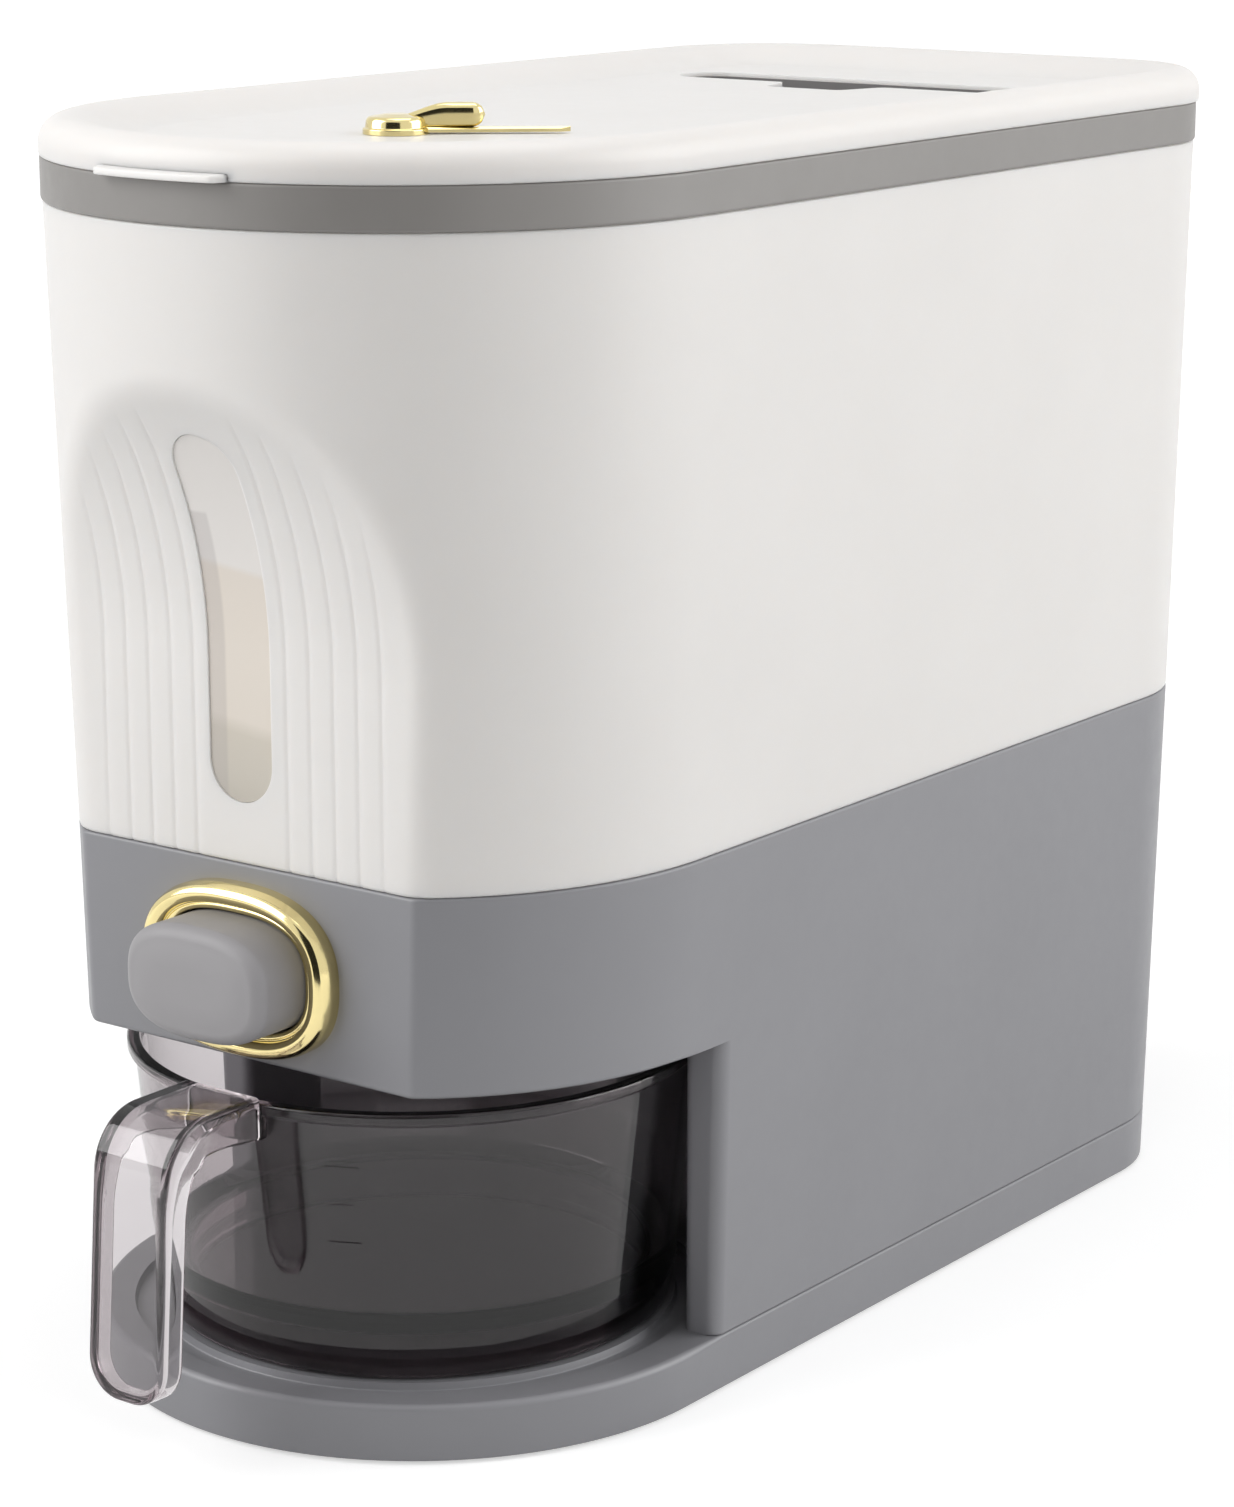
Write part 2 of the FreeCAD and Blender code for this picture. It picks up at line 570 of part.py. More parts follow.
def build_housing():
    """Grey lower housing with the bay for the cup and the overhang above it."""
    rise = "(plate_top - foot_stand) * draft"
    blank = outline_block("HousingBlank", "base_half + " + rise, "body_back + " + rise, "back_corner + " + rise,
                          "front_centre", "plate_top", "seam_z", "atan(draft)")
    facet = slab("HousingFacet", "base_half * 1.3", "front_reach", "facet_y", "bay_top - 1", "seam_z + 1")
    shaped = cut("HousingFaceted", blank, facet)
    bay = fuse("Bay",
               rod("BayRound", "bay_r", "0", "cup_y", "plate_top - 1", "bay_top - plate_top + 1"),
               slab("BayFront", "base_half * 1.3", "front_reach", "cheek_front", "plate_top - 1", "bay_top"))
    shaped = cut("HousingBay", shaped, bay)
    stop = num("cheek_front")
    face = num("facet_y")
    half_rise = num("(seam_z - bay_top) / 2")
    past_ring = num("ring_half")
    half_bay = num("(bay_top - plate_top) / 2")
    shaped = round_edges("HousingCheeks", shaped, "cheek_round",
                         lambda e: e.BoundBox.ZLength > half_bay and abs(e.BoundBox.YMin - stop) < 1.5
                         and e.BoundBox.YLength < 3)
    shaped = round_edges("HousingCorners", shaped, "facet_edge",
                         lambda e: e.BoundBox.ZLength > half_rise and abs(e.BoundBox.YMin - face) < 1.5
                         and e.BoundBox.YLength < 3 and abs(e.BoundBox.XMin) > past_ring)
    upper = outline_block("PocketUpper", "base_half - wall + 1.4", "body_back - wall + 1", "back_corner - wall",
                          "front_centre", "bay_top + floor_wall", "seam_z + 5")
    upper = cut("PocketUpperCut", upper,
                slab("PocketFront", "base_half * 1.3", "front_reach", "facet_y + wall", "bay_top", "seam_z + 6"))
    lower = outline_block("PocketLower", "base_half - wall + 1.4", "body_back - wall + 1", "back_corner - wall",
                          "front_centre", "plate_top + floor_wall", "bay_top + floor_wall")
    lower = cut("PocketLowerCut", lower,
                slab("PocketAhead", "base_half * 1.3", "front_reach", "rear_start", "0", "seam_z"),
                rod("PocketRound", "bay_r + floor_wall", "0", "cup_y", "0", "seam_z"))
    hole = pill_block("ButtonHole", "button_half + button_gap", "button_tall + button_gap",
                      "button_corner + button_gap", "button_z", "facet_y + wall + 5", "facet_y - 5")
    out = slab("OutletHole", "throat_half + chute_wall + chute_gap", "throat_front - chute_wall - chute_gap",
               "throat_back + chute_wall + chute_gap", "bay_top - 1", "bay_top + floor_wall + 1")
    keep("lower_housing", cut("LowerHousing", shaped, upper, lower, hole, out))


def build_shell():
    """White upper body: arched facet, flutes and the slot of the window."""
    low = free_sketch("ShellLow", "seam_z")
    half = "base_half + (seam_z - foot_stand) * draft"
    draw_outline(low, half, "body_back + (seam_z - foot_stand) * draft",
                 "back_corner + (seam_z - foot_stand) * draft", "front_centre")
    high = free_sketch("ShellHigh", "band_low")
    draw_outline(high, "top_half", "top_back", "top_corner", "top_centre")
    inner_low = free_sketch("CavityLow", "seam_z")
    draw_outline(inner_low, half + " - wall", "body_back + (seam_z - foot_stand) * draft - wall",
                 "back_corner", "front_centre")
    inner_high = free_sketch("CavityHigh", "band_low")
    draw_outline(inner_high, "top_half - wall", "top_back - wall", "top_corner - wall", "top_centre")
    outer = DOC.addObject("Part::Loft", "ShellOuter")
    outer.Sections = [low, high]
    outer.Solid = True
    inner = DOC.addObject("Part::Loft", "ShellInner")
    inner.Sections = [inner_low, inner_high]
    inner.Solid = True
    cavity = cut("ShellCavity", inner, facet_cutter("FacetInner", "wall"))
    blank = cut("ShellFaceted", outer, facet_cutter("FacetOuter", "0"))
    flutes, mirrored = flute_cutters()
    keep("hopper_shell", cut("HopperShell", blank, cavity, flutes, mirrored, slot_block("Slot", "0")))


def build_lens():
    """Clear window that follows the facet, with a flange behind the slot."""
    front = cut("LensFrontSkin",
                common("LensSlot", slot_block("SlotLens", "-lens_gap"), facet_cutter("LensBackCut", "wall")),
                facet_cutter("LensFrontCut", "lens_sink"))
    back = cut("LensFlange",
               common("LensFlangeSlot", slot_block("SlotFlange", "lens_flange"),
                      facet_cutter("FlangeBackCut", "wall + lens_back")),
               facet_cutter("FlangeFrontCut", "wall"))
    keep("window_lens", fuse("WindowLens", front, back))


def build_band():
    """Grey collar between body and lid, with the ears of the two hinges."""
    ring = cut("BandRing",
               outline_block("BandOut", "band_half", "top_back", "top_corner", "top_centre", "band_low", "lid_low"),
               outline_block("BandIn", "band_inner", "band_back",
                             "top_corner - band_wall", "top_centre", "band_low - 1", "lid_low + 1"))
    parts = [ring]
    holes = []
    for side, sign in (("Left", "-"), ("Right", "")):
        middle = sign + "hinge_x"
        for tag, x in (("A", "%s - knuckle_half - ear_gap - ear_thick" % middle),
                       ("B", "%s + knuckle_half + ear_gap" % middle)):
            parts.append(rod("Ear%s%s" % (side, tag), "knuckle_r", x, "pivot_y", "pivot_z", "ear_thick", "x"))
            parts.append(box("EarRoot%s%s" % (side, tag), x, "%s + ear_thick" % x, "top_back - 2", "pivot_y",
                             "pivot_z - knuckle_r", "pivot_z + knuckle_r"))
        start = "%s - knuckle_half - ear_gap - ear_thick" % middle
        long = "(knuckle_half + ear_gap + ear_thick) * 2"
        holes.append(rod("EarHole" + side, "pin_r", start, "pivot_y", "pivot_z", long, "x"))
        keep("hinge_pin_" + side.lower(), rod("Pin" + side, "pin_r", start, "pivot_y", "pivot_z", long, "x"))
    keep("collar_band", cut("CollarBand", fuse("BandBlank", *parts), *holes))


def wedge(name, low, high, side, lift):
    """Make a funnel-shaped solid between two heights, wider at the bottom by a side."""
    obj = DOC.addObject("Part::Wedge", name)
    turn = FreeCAD.Rotation(FreeCAD.Vector(1, 0, 0), 90)
    obj.Placement = FreeCAD.Placement(FreeCAD.Vector(0, 0, 0), turn)
    bind(obj, "Ymin", low)
    bind(obj, "Ymax", high)
    bind(obj, "Xmin", "-throat_half - (%s)" % side)
    bind(obj, "Xmax", "throat_half + (%s)" % side)
    bind(obj, "Zmin", "-throat_back - (%s)" % side)
    bind(obj, "Zmax", "-throat_front + (%s)" % side)
    bind(obj, "X2min", "-funnel_top_x - (%s)" % side)
    bind(obj, "X2max", "funnel_top_x + (%s)" % side)
    bind(obj, "Z2min", "-funnel_top_back - (%s)" % side)
    bind(obj, "Z2max", "-funnel_top_front + (%s)" % side)
    bind(obj, "Placement.Base.z", lift)
    return obj


def build_funnel():
    """Sloped inner floor that leads the grain to the outlet."""
    outer = wedge("FunnelOuter", "funnel_low", "funnel_low + funnel_rise", "funnel_side", "0")
    inner = wedge("FunnelInner", "funnel_low + funnel_skin", "funnel_low + funnel_skin + funnel_rise", "0", "0")
    throat = slab("FunnelThroat", "throat_half", "throat_front", "throat_back", "funnel_low - 1",
                  "funnel_low + funnel_skin + 1")
    plan = outline_block("FunnelPlan", "base_half + (seam_z - foot_stand) * draft - wall - funnel_gap",
                         "body_back + (seam_z - foot_stand) * draft - wall - funnel_gap",
                         "back_corner - funnel_gap", "front_centre", "funnel_low", "funnel_low + funnel_rise")
    body = cut("FunnelBody", common("FunnelTrim", outer, plan), inner, throat,
               slab("FunnelFrontCut", "base_half * 1.3", "front_reach", "facet_y + wall + lens_back + funnel_gap",
                    "seam_z - 60", "seam_z + 120"))
    keep("hopper_funnel", body)


def build_guide():
    """Guide of the shutter, seated on the overhang's floor, with the post of the spring."""
    floor = "bay_top + floor_wall"
    block = slab("GuideBlock", "guide_half", "guide_front", "guide_back", floor, "funnel_low")
    post = slab("GuidePost", "post_half", "guide_front", "guide_front + post_thick", floor, "post_high")
    pin = rod("GuidePin", "spring_pin", "0", "guide_front - spring_pin_long", "spring_z", "spring_pin_long + 1", "y")
    passage = slab("GuidePassage", "throat_half", "throat_front", "throat_back", "bay_top", "funnel_low + 1")
    slide = slab("GuideSlide", "gate_half + gate_gap", "guide_front - 1", "guide_back + 1", "gate_low - gate_gap",
                 "gate_low + gate_thick + gate_gap")
    keep("gate_guide", cut("GateGuide", fuse("GuideBlank", block, post, pin), passage, slide))


def build_gate():
    """Shutter plate with its port, reaching forward to the button as a tongue."""
    top = "gate_low + gate_thick"
    plate = slab("GatePlateWide", "gate_half", "guide_front - 2", "guide_back", "gate_low", top)
    tongue = slab("GateTongue", "tongue_half", "button_front + button_skin", "guide_front", "gate_low", top)
    port = slab("GatePort", "throat_half", "throat_front - stroke - gate_lap",
                "throat_back - stroke - gate_lap", "gate_low - 1", top + " + 1")
    keep("gate_plate", cut("GatePlate", fuse("GateBlank", plate, tongue), port))


def build_chute():
    """Short spout through the overhang's floor, with a lip below it."""
    outer = slab("ChuteTube", "throat_half + chute_wall", "throat_front - chute_wall", "throat_back + chute_wall",
                 "chute_low", "bay_top + floor_wall")
    lip = slab("ChuteLip", "throat_half + chute_wall + chute_lip", "throat_front - chute_wall - chute_lip",
               "throat_back + chute_wall + chute_lip", "bay_top - chute_lip_thick", "bay_top")
    passage = slab("ChutePassage", "throat_half", "throat_front", "throat_back", "chute_low - 1",
                   "bay_top + floor_wall + 1")
    keep("outlet_chute", cut("OutletChute", fuse("ChuteBlank", outer, lip), passage))


def build_button():
    """Push button with a retaining lip, and the bright ring round it."""
    cap = pill_block("ButtonCap", "button_half", "button_tall", "button_corner", "button_z", "facet_y + wall + 0.3",
                     "button_front")
    front = num("button_front")
    soften(cap, "ButtonEdge", "button_edge", lambda e: spans(e, ymin=front, ymax=front))
    lip = pill_block("ButtonLip", "button_half + lip_out", "button_tall + lip_out", "button_corner + lip_out",
                     "button_z", "facet_y + wall + lip_thick", "facet_y + wall")
    hollow = pill_block("ButtonHollow", "button_half - button_skin", "button_tall - button_skin",
                        "button_corner - button_skin", "button_z", "facet_y + wall + lip_thick + 1",
                        "button_front + button_skin")
    keep("button_cap", cut("ButtonShell", fuse("ButtonBlank", cap, lip), hollow))
    ring = pill_block("RingBlank", "ring_half", "ring_tall", "ring_corner", "button_z", "facet_y",
                      "facet_y - ring_high")
    sketch = new_sketch(ring, "RingHoleFront", "XZ_Plane", "-facet_y")
    draw_pill(sketch, "button_half + button_gap", "button_tall + button_gap", "button_corner + button_gap",
              "button_z")
    DOC.recompute()
    pocket = ring.newObject("PartDesign::Pocket", "RingHole")
    pocket.Profile = sketch
    pocket.Type = 1
    pocket.Midplane = True
    sketch.Visibility = False
    ring.Tip = pocket
    top = num("facet_y - ring_high")
    reach = num("button_half + button_gap")
    soften(ring, "RingOuterEdge", "ring_edge",
           lambda e: spans(e, ymin=top, ymax=top) and ring_side(e) > reach + 2)
    soften(ring, "RingInnerEdge", "ring_inner_edge",
           lambda e: spans(e, ymin=top, ymax=top) and inner_edge(e))
    keep("button_ring", ring)


def ring_side(edge):
    """Return how far an edge's middle lies outside the button's outline, as a plain size."""
    spot = edge.valueAt((edge.FirstParameter + edge.LastParameter) / 2)
    across = abs(spot.x) / num("button_half + button_gap")
    upright = abs(spot.z - num("button_z")) / num("button_tall + button_gap")
    return max(across, upright) * num("button_half + button_gap")


def inner_edge(edge):
    """Tell whether an edge lies on the hole of the ring."""
    return ring_side(edge) < num("button_half + button_gap") + 0.6


def build_spring():
    """Return spring of the button, a round wire wound about the post's pin."""
    wire = num("spring_wire")
    radius = num("spring_r")
    back = num("guide_front") - wire
    front = num("button_front + button_skin") + wire
    turns = num("spring_turns")
    helix = Part.makeHelix((back - front) / turns, back - front, radius)
    corners = []
    for index in range(SPRING_SIDES + 1):
        angle = 2 * math.pi * index / SPRING_SIDES
        corners.append(FreeCAD.Vector(radius + wire * math.cos(angle), 0, wire * math.sin(angle)))
    coil = Part.Wire(helix).makePipeShell([Part.makePolygon(corners)], True, True)
    obj = DOC.addObject("Part::Feature", "ReturnSpring")
    obj.Shape = coil
    turn = FreeCAD.Rotation(FreeCAD.Vector(1, 0, 0), 90)
    obj.Placement = FreeCAD.Placement(FreeCAD.Vector(0, back, num("spring_z")), turn)
    keep("return_spring", obj)


def build_lid():
    """Lid with a dished top, lift tab, plug ring, recess and hinge knuckles."""
    blank = outline_block("LidBlank", "lid_half", "lid_back", "top_corner", "top_centre", "lid_low", "lid_high")
    top = num("lid_high")
    soften(blank, "LidRound", "lid_round", lambda e: spans(e, zmin=top, zmax=top))
    rim = free_sketch("DishRim", "lid_high")
    draw_outline(rim, "dish_rim", "lid_back - dish_margin", "top_corner - dish_margin", "top_centre")
    floor = free_sketch("DishFloor", "lid_floor")
    draw_outline(floor, "dish_floor", "lid_back - dish_inset", "top_corner - dish_inset",
                 "top_centre")
    dish = DOC.addObject("Part::Loft", "Dish")
    dish.Sections = [floor, rim]
    dish.Solid = True
    plug = outline_block("LidPlug", "plug_half", "plug_back",
                         "top_corner - band_wall - plug_fit", "top_centre", "plug_low", "lid_low + 1")
    tab = common("LidTab",
                 slab("TabBlock", "tab_half", "front_reach", "top_centre", "lid_low", "lid_low + tab_thick"),
                 rod("TabRound", "lid_half + tab_out", "0", "top_centre", "lid_low", "tab_thick"))
    knuckles = []
    holes = []
    for side, sign in (("Left", "-"), ("Right", "")):
        start = "%shinge_x - knuckle_half" % sign
        knuckles.append(rod("Knuckle" + side, "knuckle_r", start, "pivot_y", "pivot_z", "knuckle_half * 2", "x"))
        knuckles.append(box("KnuckleArm" + side, start, "%s + knuckle_half * 2" % start,
                            "top_back + knuckle_clear", "pivot_y + knuckle_r", "pivot_z", "lid_low + 3.2"))
        holes.append(rod("KnuckleHole" + side, "pin_r + pin_gap", "%s - 1" % start, "pivot_y", "pivot_z",
                         "knuckle_half * 2 + 2", "x"))
    solid = fuse("LidSolid", blank, plug, tab, *knuckles)
    hollow = outline_block("LidHollow", "plug_half - plug_wall", "plug_back - plug_wall",
                           "top_corner - band_wall - plug_fit - plug_wall", "top_centre", "plug_low - 1",
                           "lid_floor - lid_skin")
    well = fuse("Well",
                pill_slab("WellLong", "well_half", "well_front", "well_back", "lid_floor - lid_skin - 1",
                          "lid_high"),
                slab("WellNotch", "notch_half", "notch_front", "well_front + 1", "lid_floor - lid_skin - 1",
                     "lid_high"))
    bore = rod("SpindleHole", "spindle_r", "0", "dial_y", "lid_floor - lid_skin - 1", "lid_skin + 4")
    keep("lid_shell", cut("LidShell", solid, dish, hollow, well, bore, *holes))
    seal = cut("LidGasket",
               outline_block("GasketOut", "plug_half + gasket_out", "plug_back + gasket_out",
                             "top_corner - band_wall - plug_fit + gasket_out", "top_centre", "gasket_low",
                             "gasket_high"),
               outline_block("GasketIn", "plug_half", "plug_back",
                             "top_corner - band_wall - plug_fit", "top_centre", "gasket_low - 1",
                             "gasket_high + 1"))
    keep("lid_gasket", seal)


def build_moisture_box():
    """Tray under the lid's recess, with a slotted cover that lifts out."""
    top = "lid_floor - lid_skin"
    outer = slab("TrayOuter", "well_half + tray_margin", "notch_front - tray_margin", "well_back + tray_margin",
                 "tray_low", top)
    inner = slab("TrayInner", "well_half + tray_margin - tray_wall", "notch_front - tray_margin + tray_wall",
                 "well_back + tray_margin - tray_wall", "tray_low + tray_wall", top + " + 1")
    shelves = []
    edge = "well_half + tray_margin - tray_wall"
    shelves.append(box("ShelfLeft", "-(%s)" % edge, "-(%s) + shelf_long" % edge, "well_front", "well_back",
                       "tray_low + tray_wall", "shelf_high"))
    shelves.append(box("ShelfRight", "%s - shelf_long" % edge, edge, "well_front", "well_back",
                       "tray_low + tray_wall", "shelf_high"))
    keep("moisture_tray", fuse("MoistureTray", cut("TrayCup", outer, inner), *shelves))
    plate = pill_slab("GrillePlate", "well_half - grille_gap", "well_front + grille_gap", "well_back - grille_gap",
                      "shelf_high", "shelf_high + grille_thick")
    slots = []
    reach = int(num("(well_half - (well_back - well_front) / 2) / grille_pitch"))
    for index in range(-reach, reach + 1):
        middle = "%d * grille_pitch" % index
        slots.append(box("GrilleSlot%d" % (index + reach), middle + " - grille_slot / 2",
                         middle + " + grille_slot / 2",
                         "well_front + grille_gap + grille_rim", "well_back - grille_gap - grille_rim",
                         "shelf_high - 1", "shelf_high + grille_thick + 1"))
    keep("moisture_cover", cut("MoistureCover", plate, *slots))


def build_pointer():
    """Turning pointer on the lid: hub, upright grip wing and flat hand."""
    keep("dial_spindle", rod("DialSpindle", "spindle_r", "0", "dial_y", "lid_floor - lid_skin",
                             "lid_skin + spindle_high"))
    hub = DOC.addObject("Part::Cylinder", "Hub")
    bind(hub, "Radius", "hub_r")
    bind(hub, "Height", "hub_high")
    DOC.recompute()
    high = num("hub_high")
    dome = round_edges("HubDome", hub, "hub_round", lambda e: spans(e, zmin=high, zmax=high) and e.Length > high)
    hand = DOC.addObject("PartDesign::Body", "Hand")
    sketch = new_sketch(hand, "HandPlan", "XY_Plane", "pointer_low")
    draw_polygon(sketch, [("0", "-pointer_root"), ("pointer_long - 3", "-pointer_tip"), ("pointer_long", "0"),
                          ("pointer_long - 3", "pointer_tip"), ("0", "pointer_root")])
    pad(hand, sketch, "HandPad", "pointer_thick")
    wing = DOC.addObject("PartDesign::Body", "Wing")
    side = new_sketch(wing, "WingSide", "XZ_Plane", "-wing_thick / 2")
    draw_polygon(side, [("0", "hub_high - 1.4"), ("0", "hub_high - 0.6"), ("wing_long * 0.72", "wing_high"),
                        ("wing_long - 2", "wing_high"), ("wing_long", "wing_high - 2.6"),
                        ("wing_long - 3", "pointer_low + 0.6"), ("wing_long * 0.5", "pointer_low + 0.6")])
    pad(wing, side, "WingPad", "wing_thick")
    long = num("wing_long")
    soften(wing, "WingEdge", "wing_thick * 0.3",
           lambda e: e.BoundBox.ZMax > num("wing_high") - 0.1 and e.BoundBox.YLength < 0.1
           and e.BoundBox.XMax < long + 1)
    whole = fuse("PointerBlank", dome, hand, wing)
    bore = rod("PointerBore", "spindle_r + spindle_gap", "0", "0", "-1", "spindle_high + 1.2")
    body = cut("DialPointer", whole, bore)
    spin = FreeCAD.Rotation(FreeCAD.Vector(0, 0, 1), num("pointer_turn"))
    body.Placement = FreeCAD.Placement(FreeCAD.Vector(0, 0, 0), spin)
    bind(body, "Placement.Rotation.Angle", "pointer_turn")
    place(body, "0", "dial_y", "lid_floor")
    keep("dial_pointer", body)


def turned(name, points):
    """Make a solid of revolution about the cup's axis from a half profile."""
    body = DOC.addObject("PartDesign::Body", name)
    sketch = new_sketch(body, name + "Half", "XZ_Plane", "-cup_y")
    draw_polygon(sketch, points)
    feature = body.newObject("PartDesign::Revolution", name + "Turn")
    feature.Profile = sketch
    feature.ReferenceAxis = (sketch, ["V_Axis"])
    feature.Angle = 360
    sketch.Visibility = False
    body.Tip = feature
    return body


def build_cup():
    """Measuring cup with a raised floor on a foot ring, and a pad for its handle."""
    outer = turned("CupOuter", [("0", "plate_top"), ("cup_foot", "plate_top"), ("cup_heel", "cup_heel_z"),
                                ("cup_top_r", "rim_low - 1.4"), ("rim_r", "rim_low"), ("rim_r", "cup_high"),
                                ("0", "cup_high")])
    heel = num("cup_heel_z")
    foot = num("plate_top")
    round_foot = num("cup_foot * 3")
    soften(outer, "CupHeel", "heel_round",
           lambda e: (spans(e, zmin=heel, zmax=heel) or spans(e, zmin=foot, zmax=foot)) and e.Length > round_foot)
    inner = turned("CupInner", [("0", "cup_floor"), ("cup_heel - cup_wall - 4", "cup_floor"),
                                ("cup_heel - cup_wall + 0.2", "cup_floor + 4"),
                                ("cup_top_r - cup_wall", "cup_high - 1"), ("cup_top_r - cup_wall + 0.6", "cup_high + 1"),
                                ("0", "cup_high + 1")])
    under = rod("CupUnder", "cup_foot - foot_ring", "0", "cup_y", "plate_top - 1", "cup_under - plate_top + 1")
    mount = slab("CupPad", "handle_half", "pad_front", "cup_y - cup_top_r + 4", "pad_low", "cup_high")
    keep("cup_bowl", cut("CupBowl", fuse("CupBlank", outer, mount), inner, under))
    build_handle()


def handle_band(name, web, half):
    """Make the bent strap of the handle, drawn from the side and moved in by a web."""
    body = DOC.addObject("PartDesign::Body", name)
    sketch = new_sketch(body, name + "Side", "YZ_Plane", "-(%s)" % half)
    slope = "(handle_end_y - handle_bend_y) / (handle_top - 15 - handle_end_z)"
    top = "handle_top - (%s)" % web
    bend = "handle_bend_y - %s * -(15 - (%s)) * -1 + (%s)" % (slope, web, web)
    deep = "flange_deep"
    draw_polygon(sketch, [("pad_front", "pad_low + 0.6"), ("pad_front", top), (bend, top),
                          ("handle_end_y + (%s)" % web, "handle_end_z"),
                          ("handle_end_y + " + deep, "handle_end_z"),
                          ("handle_bend_y + " + deep, "pad_low + 0.6")])
    pad(body, sketch, name + "Pad", "(%s) * 2" % half)
    return body


def build_handle():
    """Channel-shaped handle that hangs from the rim and is open towards the cup."""
    strap = handle_band("Strap", "0", "handle_half")
    top, low = num("handle_top"), num("pad_low + 0.6")
    bend = num("handle_bend_y")
    soften(strap, "StrapBend", "bend_out",
           lambda e: spans(e, zmin=top, zmax=top) and e.BoundBox.XLength > 20 and e.BoundBox.YMin < bend + 6)
    soften(strap, "StrapCrook", "bend_in",
           lambda e: spans(e, zmin=low, zmax=low) and e.BoundBox.XLength > 20 and e.BoundBox.YMin < bend + 12)
    tip = num("handle_end_z")
    soften(strap, "StrapTip", "handle_tip_round",
           lambda e: spans(e, zmin=tip, zmax=tip) and e.BoundBox.XLength < 0.1)
    core = handle_band("StrapCore", "handle_web", "handle_half - handle_flange")
    DOC.recompute()
    inner_top = num("handle_top - handle_web")
    half_strap = num("handle_half - handle_flange")
    soften(core, "CoreBend", "bend_out - handle_web",
           lambda e: spans(e, zmin=inner_top, zmax=inner_top) and e.BoundBox.XLength > half_strap
           and e.BoundBox.YMin < bend + 8)
    reach = slab("CoreReach", "handle_half - handle_flange", "handle_bend_y + flange_deep - 9",
                 "pad_front - 2.4", "pad_low - 20", "pad_low + 4")
    core_cut = common("CoreTrim", core,
                      slab("CoreBox", "handle_half", "front_reach", "pad_front - 2.4", "handle_end_z + 2.4", "120"))
    keep("cup_handle", cut("CupHandle", strap, core_cut))


def check_and_write():
    """Check every object and write one file per node."""
    DOC.recompute()
    os.makedirs("parts", exist_ok=True)
    for obj in DOC.Objects:
        bad = [state for state in obj.State if state in ("Invalid", "Error")]
        if bad:
            raise ValueError("%s is %s" % (obj.Name, bad))
    for node, obj in NODES.items():
        shape = obj.Shape
        if shape.isNull() or not shape.isValid():
            raise ValueError(node + " is not a valid shape")
        if len(shape.Solids) != 1:
            raise ValueError("%s has %d solids" % (node, len(shape.Solids)))
        shape.exportStep("parts/%s.step" % node)
        box_ = shape.BoundBox
        print("%-16s %9.1f cm3 faces %3d  x %.1f..%.1f y %.1f..%.1f z %.1f..%.1f" % (
            node, shape.Volume / 1000, len(shape.Faces), box_.XMin, box_.XMax, box_.YMin, box_.YMax, box_.ZMin,
            box_.ZMax))


def main():
    """Build every piece in order and write the files."""
    fill_sheet()
    for step in (build_base, build_housing, build_shell, build_lens, build_band, build_funnel, build_guide,
                 build_gate, build_chute, build_button, build_spring, build_lid, build_moisture_box, build_pointer,
                 build_cup):
        step()
        DOC.recompute()
        print("built", step.__name__)
    check_and_write()


main()
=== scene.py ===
"""Looks of a rice dispenser with a pull-out cup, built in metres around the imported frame.

+X is to the dispenser's right, +Y to its back and +Z up, with the floor at zero.
"""

import logging
import math
from collections.abc import Iterable
from dataclasses import astuple, dataclass, replace
from enum import Enum

import bmesh
import bpy
from mathutils import Matrix, Vector


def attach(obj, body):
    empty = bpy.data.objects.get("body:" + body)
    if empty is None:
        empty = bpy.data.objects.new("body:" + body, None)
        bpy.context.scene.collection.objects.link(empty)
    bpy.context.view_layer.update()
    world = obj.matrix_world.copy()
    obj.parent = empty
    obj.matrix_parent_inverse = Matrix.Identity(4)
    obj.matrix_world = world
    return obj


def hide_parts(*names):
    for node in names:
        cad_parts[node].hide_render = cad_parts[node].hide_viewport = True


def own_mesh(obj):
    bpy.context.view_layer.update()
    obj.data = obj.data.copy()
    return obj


Flat = tuple[float, float]
Spot = tuple[float, float, float]
Colour = tuple[float, float, float]
Corner = tuple[float, float, float]

LOG = logging.getLogger("rice_dispenser")
SHARP = math.radians(34)
BEVEL_FROM = math.radians(40)
HALF_TURN = math.pi
QUARTER = math.pi / 2
PLAIN_WHITE = (1.0, 1.0, 1.0, 1.0)
SIDES = ((-1, "left"), (1, "right"))

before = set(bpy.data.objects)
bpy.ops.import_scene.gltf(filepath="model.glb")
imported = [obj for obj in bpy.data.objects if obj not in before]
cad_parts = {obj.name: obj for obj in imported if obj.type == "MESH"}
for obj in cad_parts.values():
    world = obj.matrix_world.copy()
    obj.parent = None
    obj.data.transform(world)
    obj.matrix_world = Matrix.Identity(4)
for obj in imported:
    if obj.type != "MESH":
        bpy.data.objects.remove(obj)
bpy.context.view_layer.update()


class Slot(Enum):
    """Material slots that the record names."""

    WHITE = "white_plastic"
    GREY = "grey_plastic"
    DARK = "dark_plastic"
    WINDOW = "clear_window"
    SMOKE = "smoked_clear"
    CREAM = "cream_plastic"
    GOLD = "gold_trim"
    BUTTON = "button_plastic"
    RUBBER = "rubber_foot"
    SEAL = "silicone_seal"
    SPRING = "spring_steel"
    PIN = "steel_pin"


class Body(Enum):
    """Bodies that pieces ride on."""

    FRAME = "frame"
    BUTTON = "button"
    LID = "lid"
    LIFT = "moisture_lift"
    POINTER = "pointer"
    CUP = "cup"


# ---------------------------------------------------------------- finishes


def from_screen(red: int, green: int, blue: int) -> Colour:
    """Turn a screen colour into the linear one that a shader takes.

    Args:
        red: Red, 0 to 255.
        green: Green, 0 to 255.
        blue: Blue, 0 to 255.

    Returns:
        The three linear values.
    """
    out = []
    for part in (red, green, blue):
        share = part / 255
        out.append(share / 12.92 if share <= 0.04045 else ((share + 0.055) / 1.055) ** 2.4)
    return out[0], out[1], out[2]


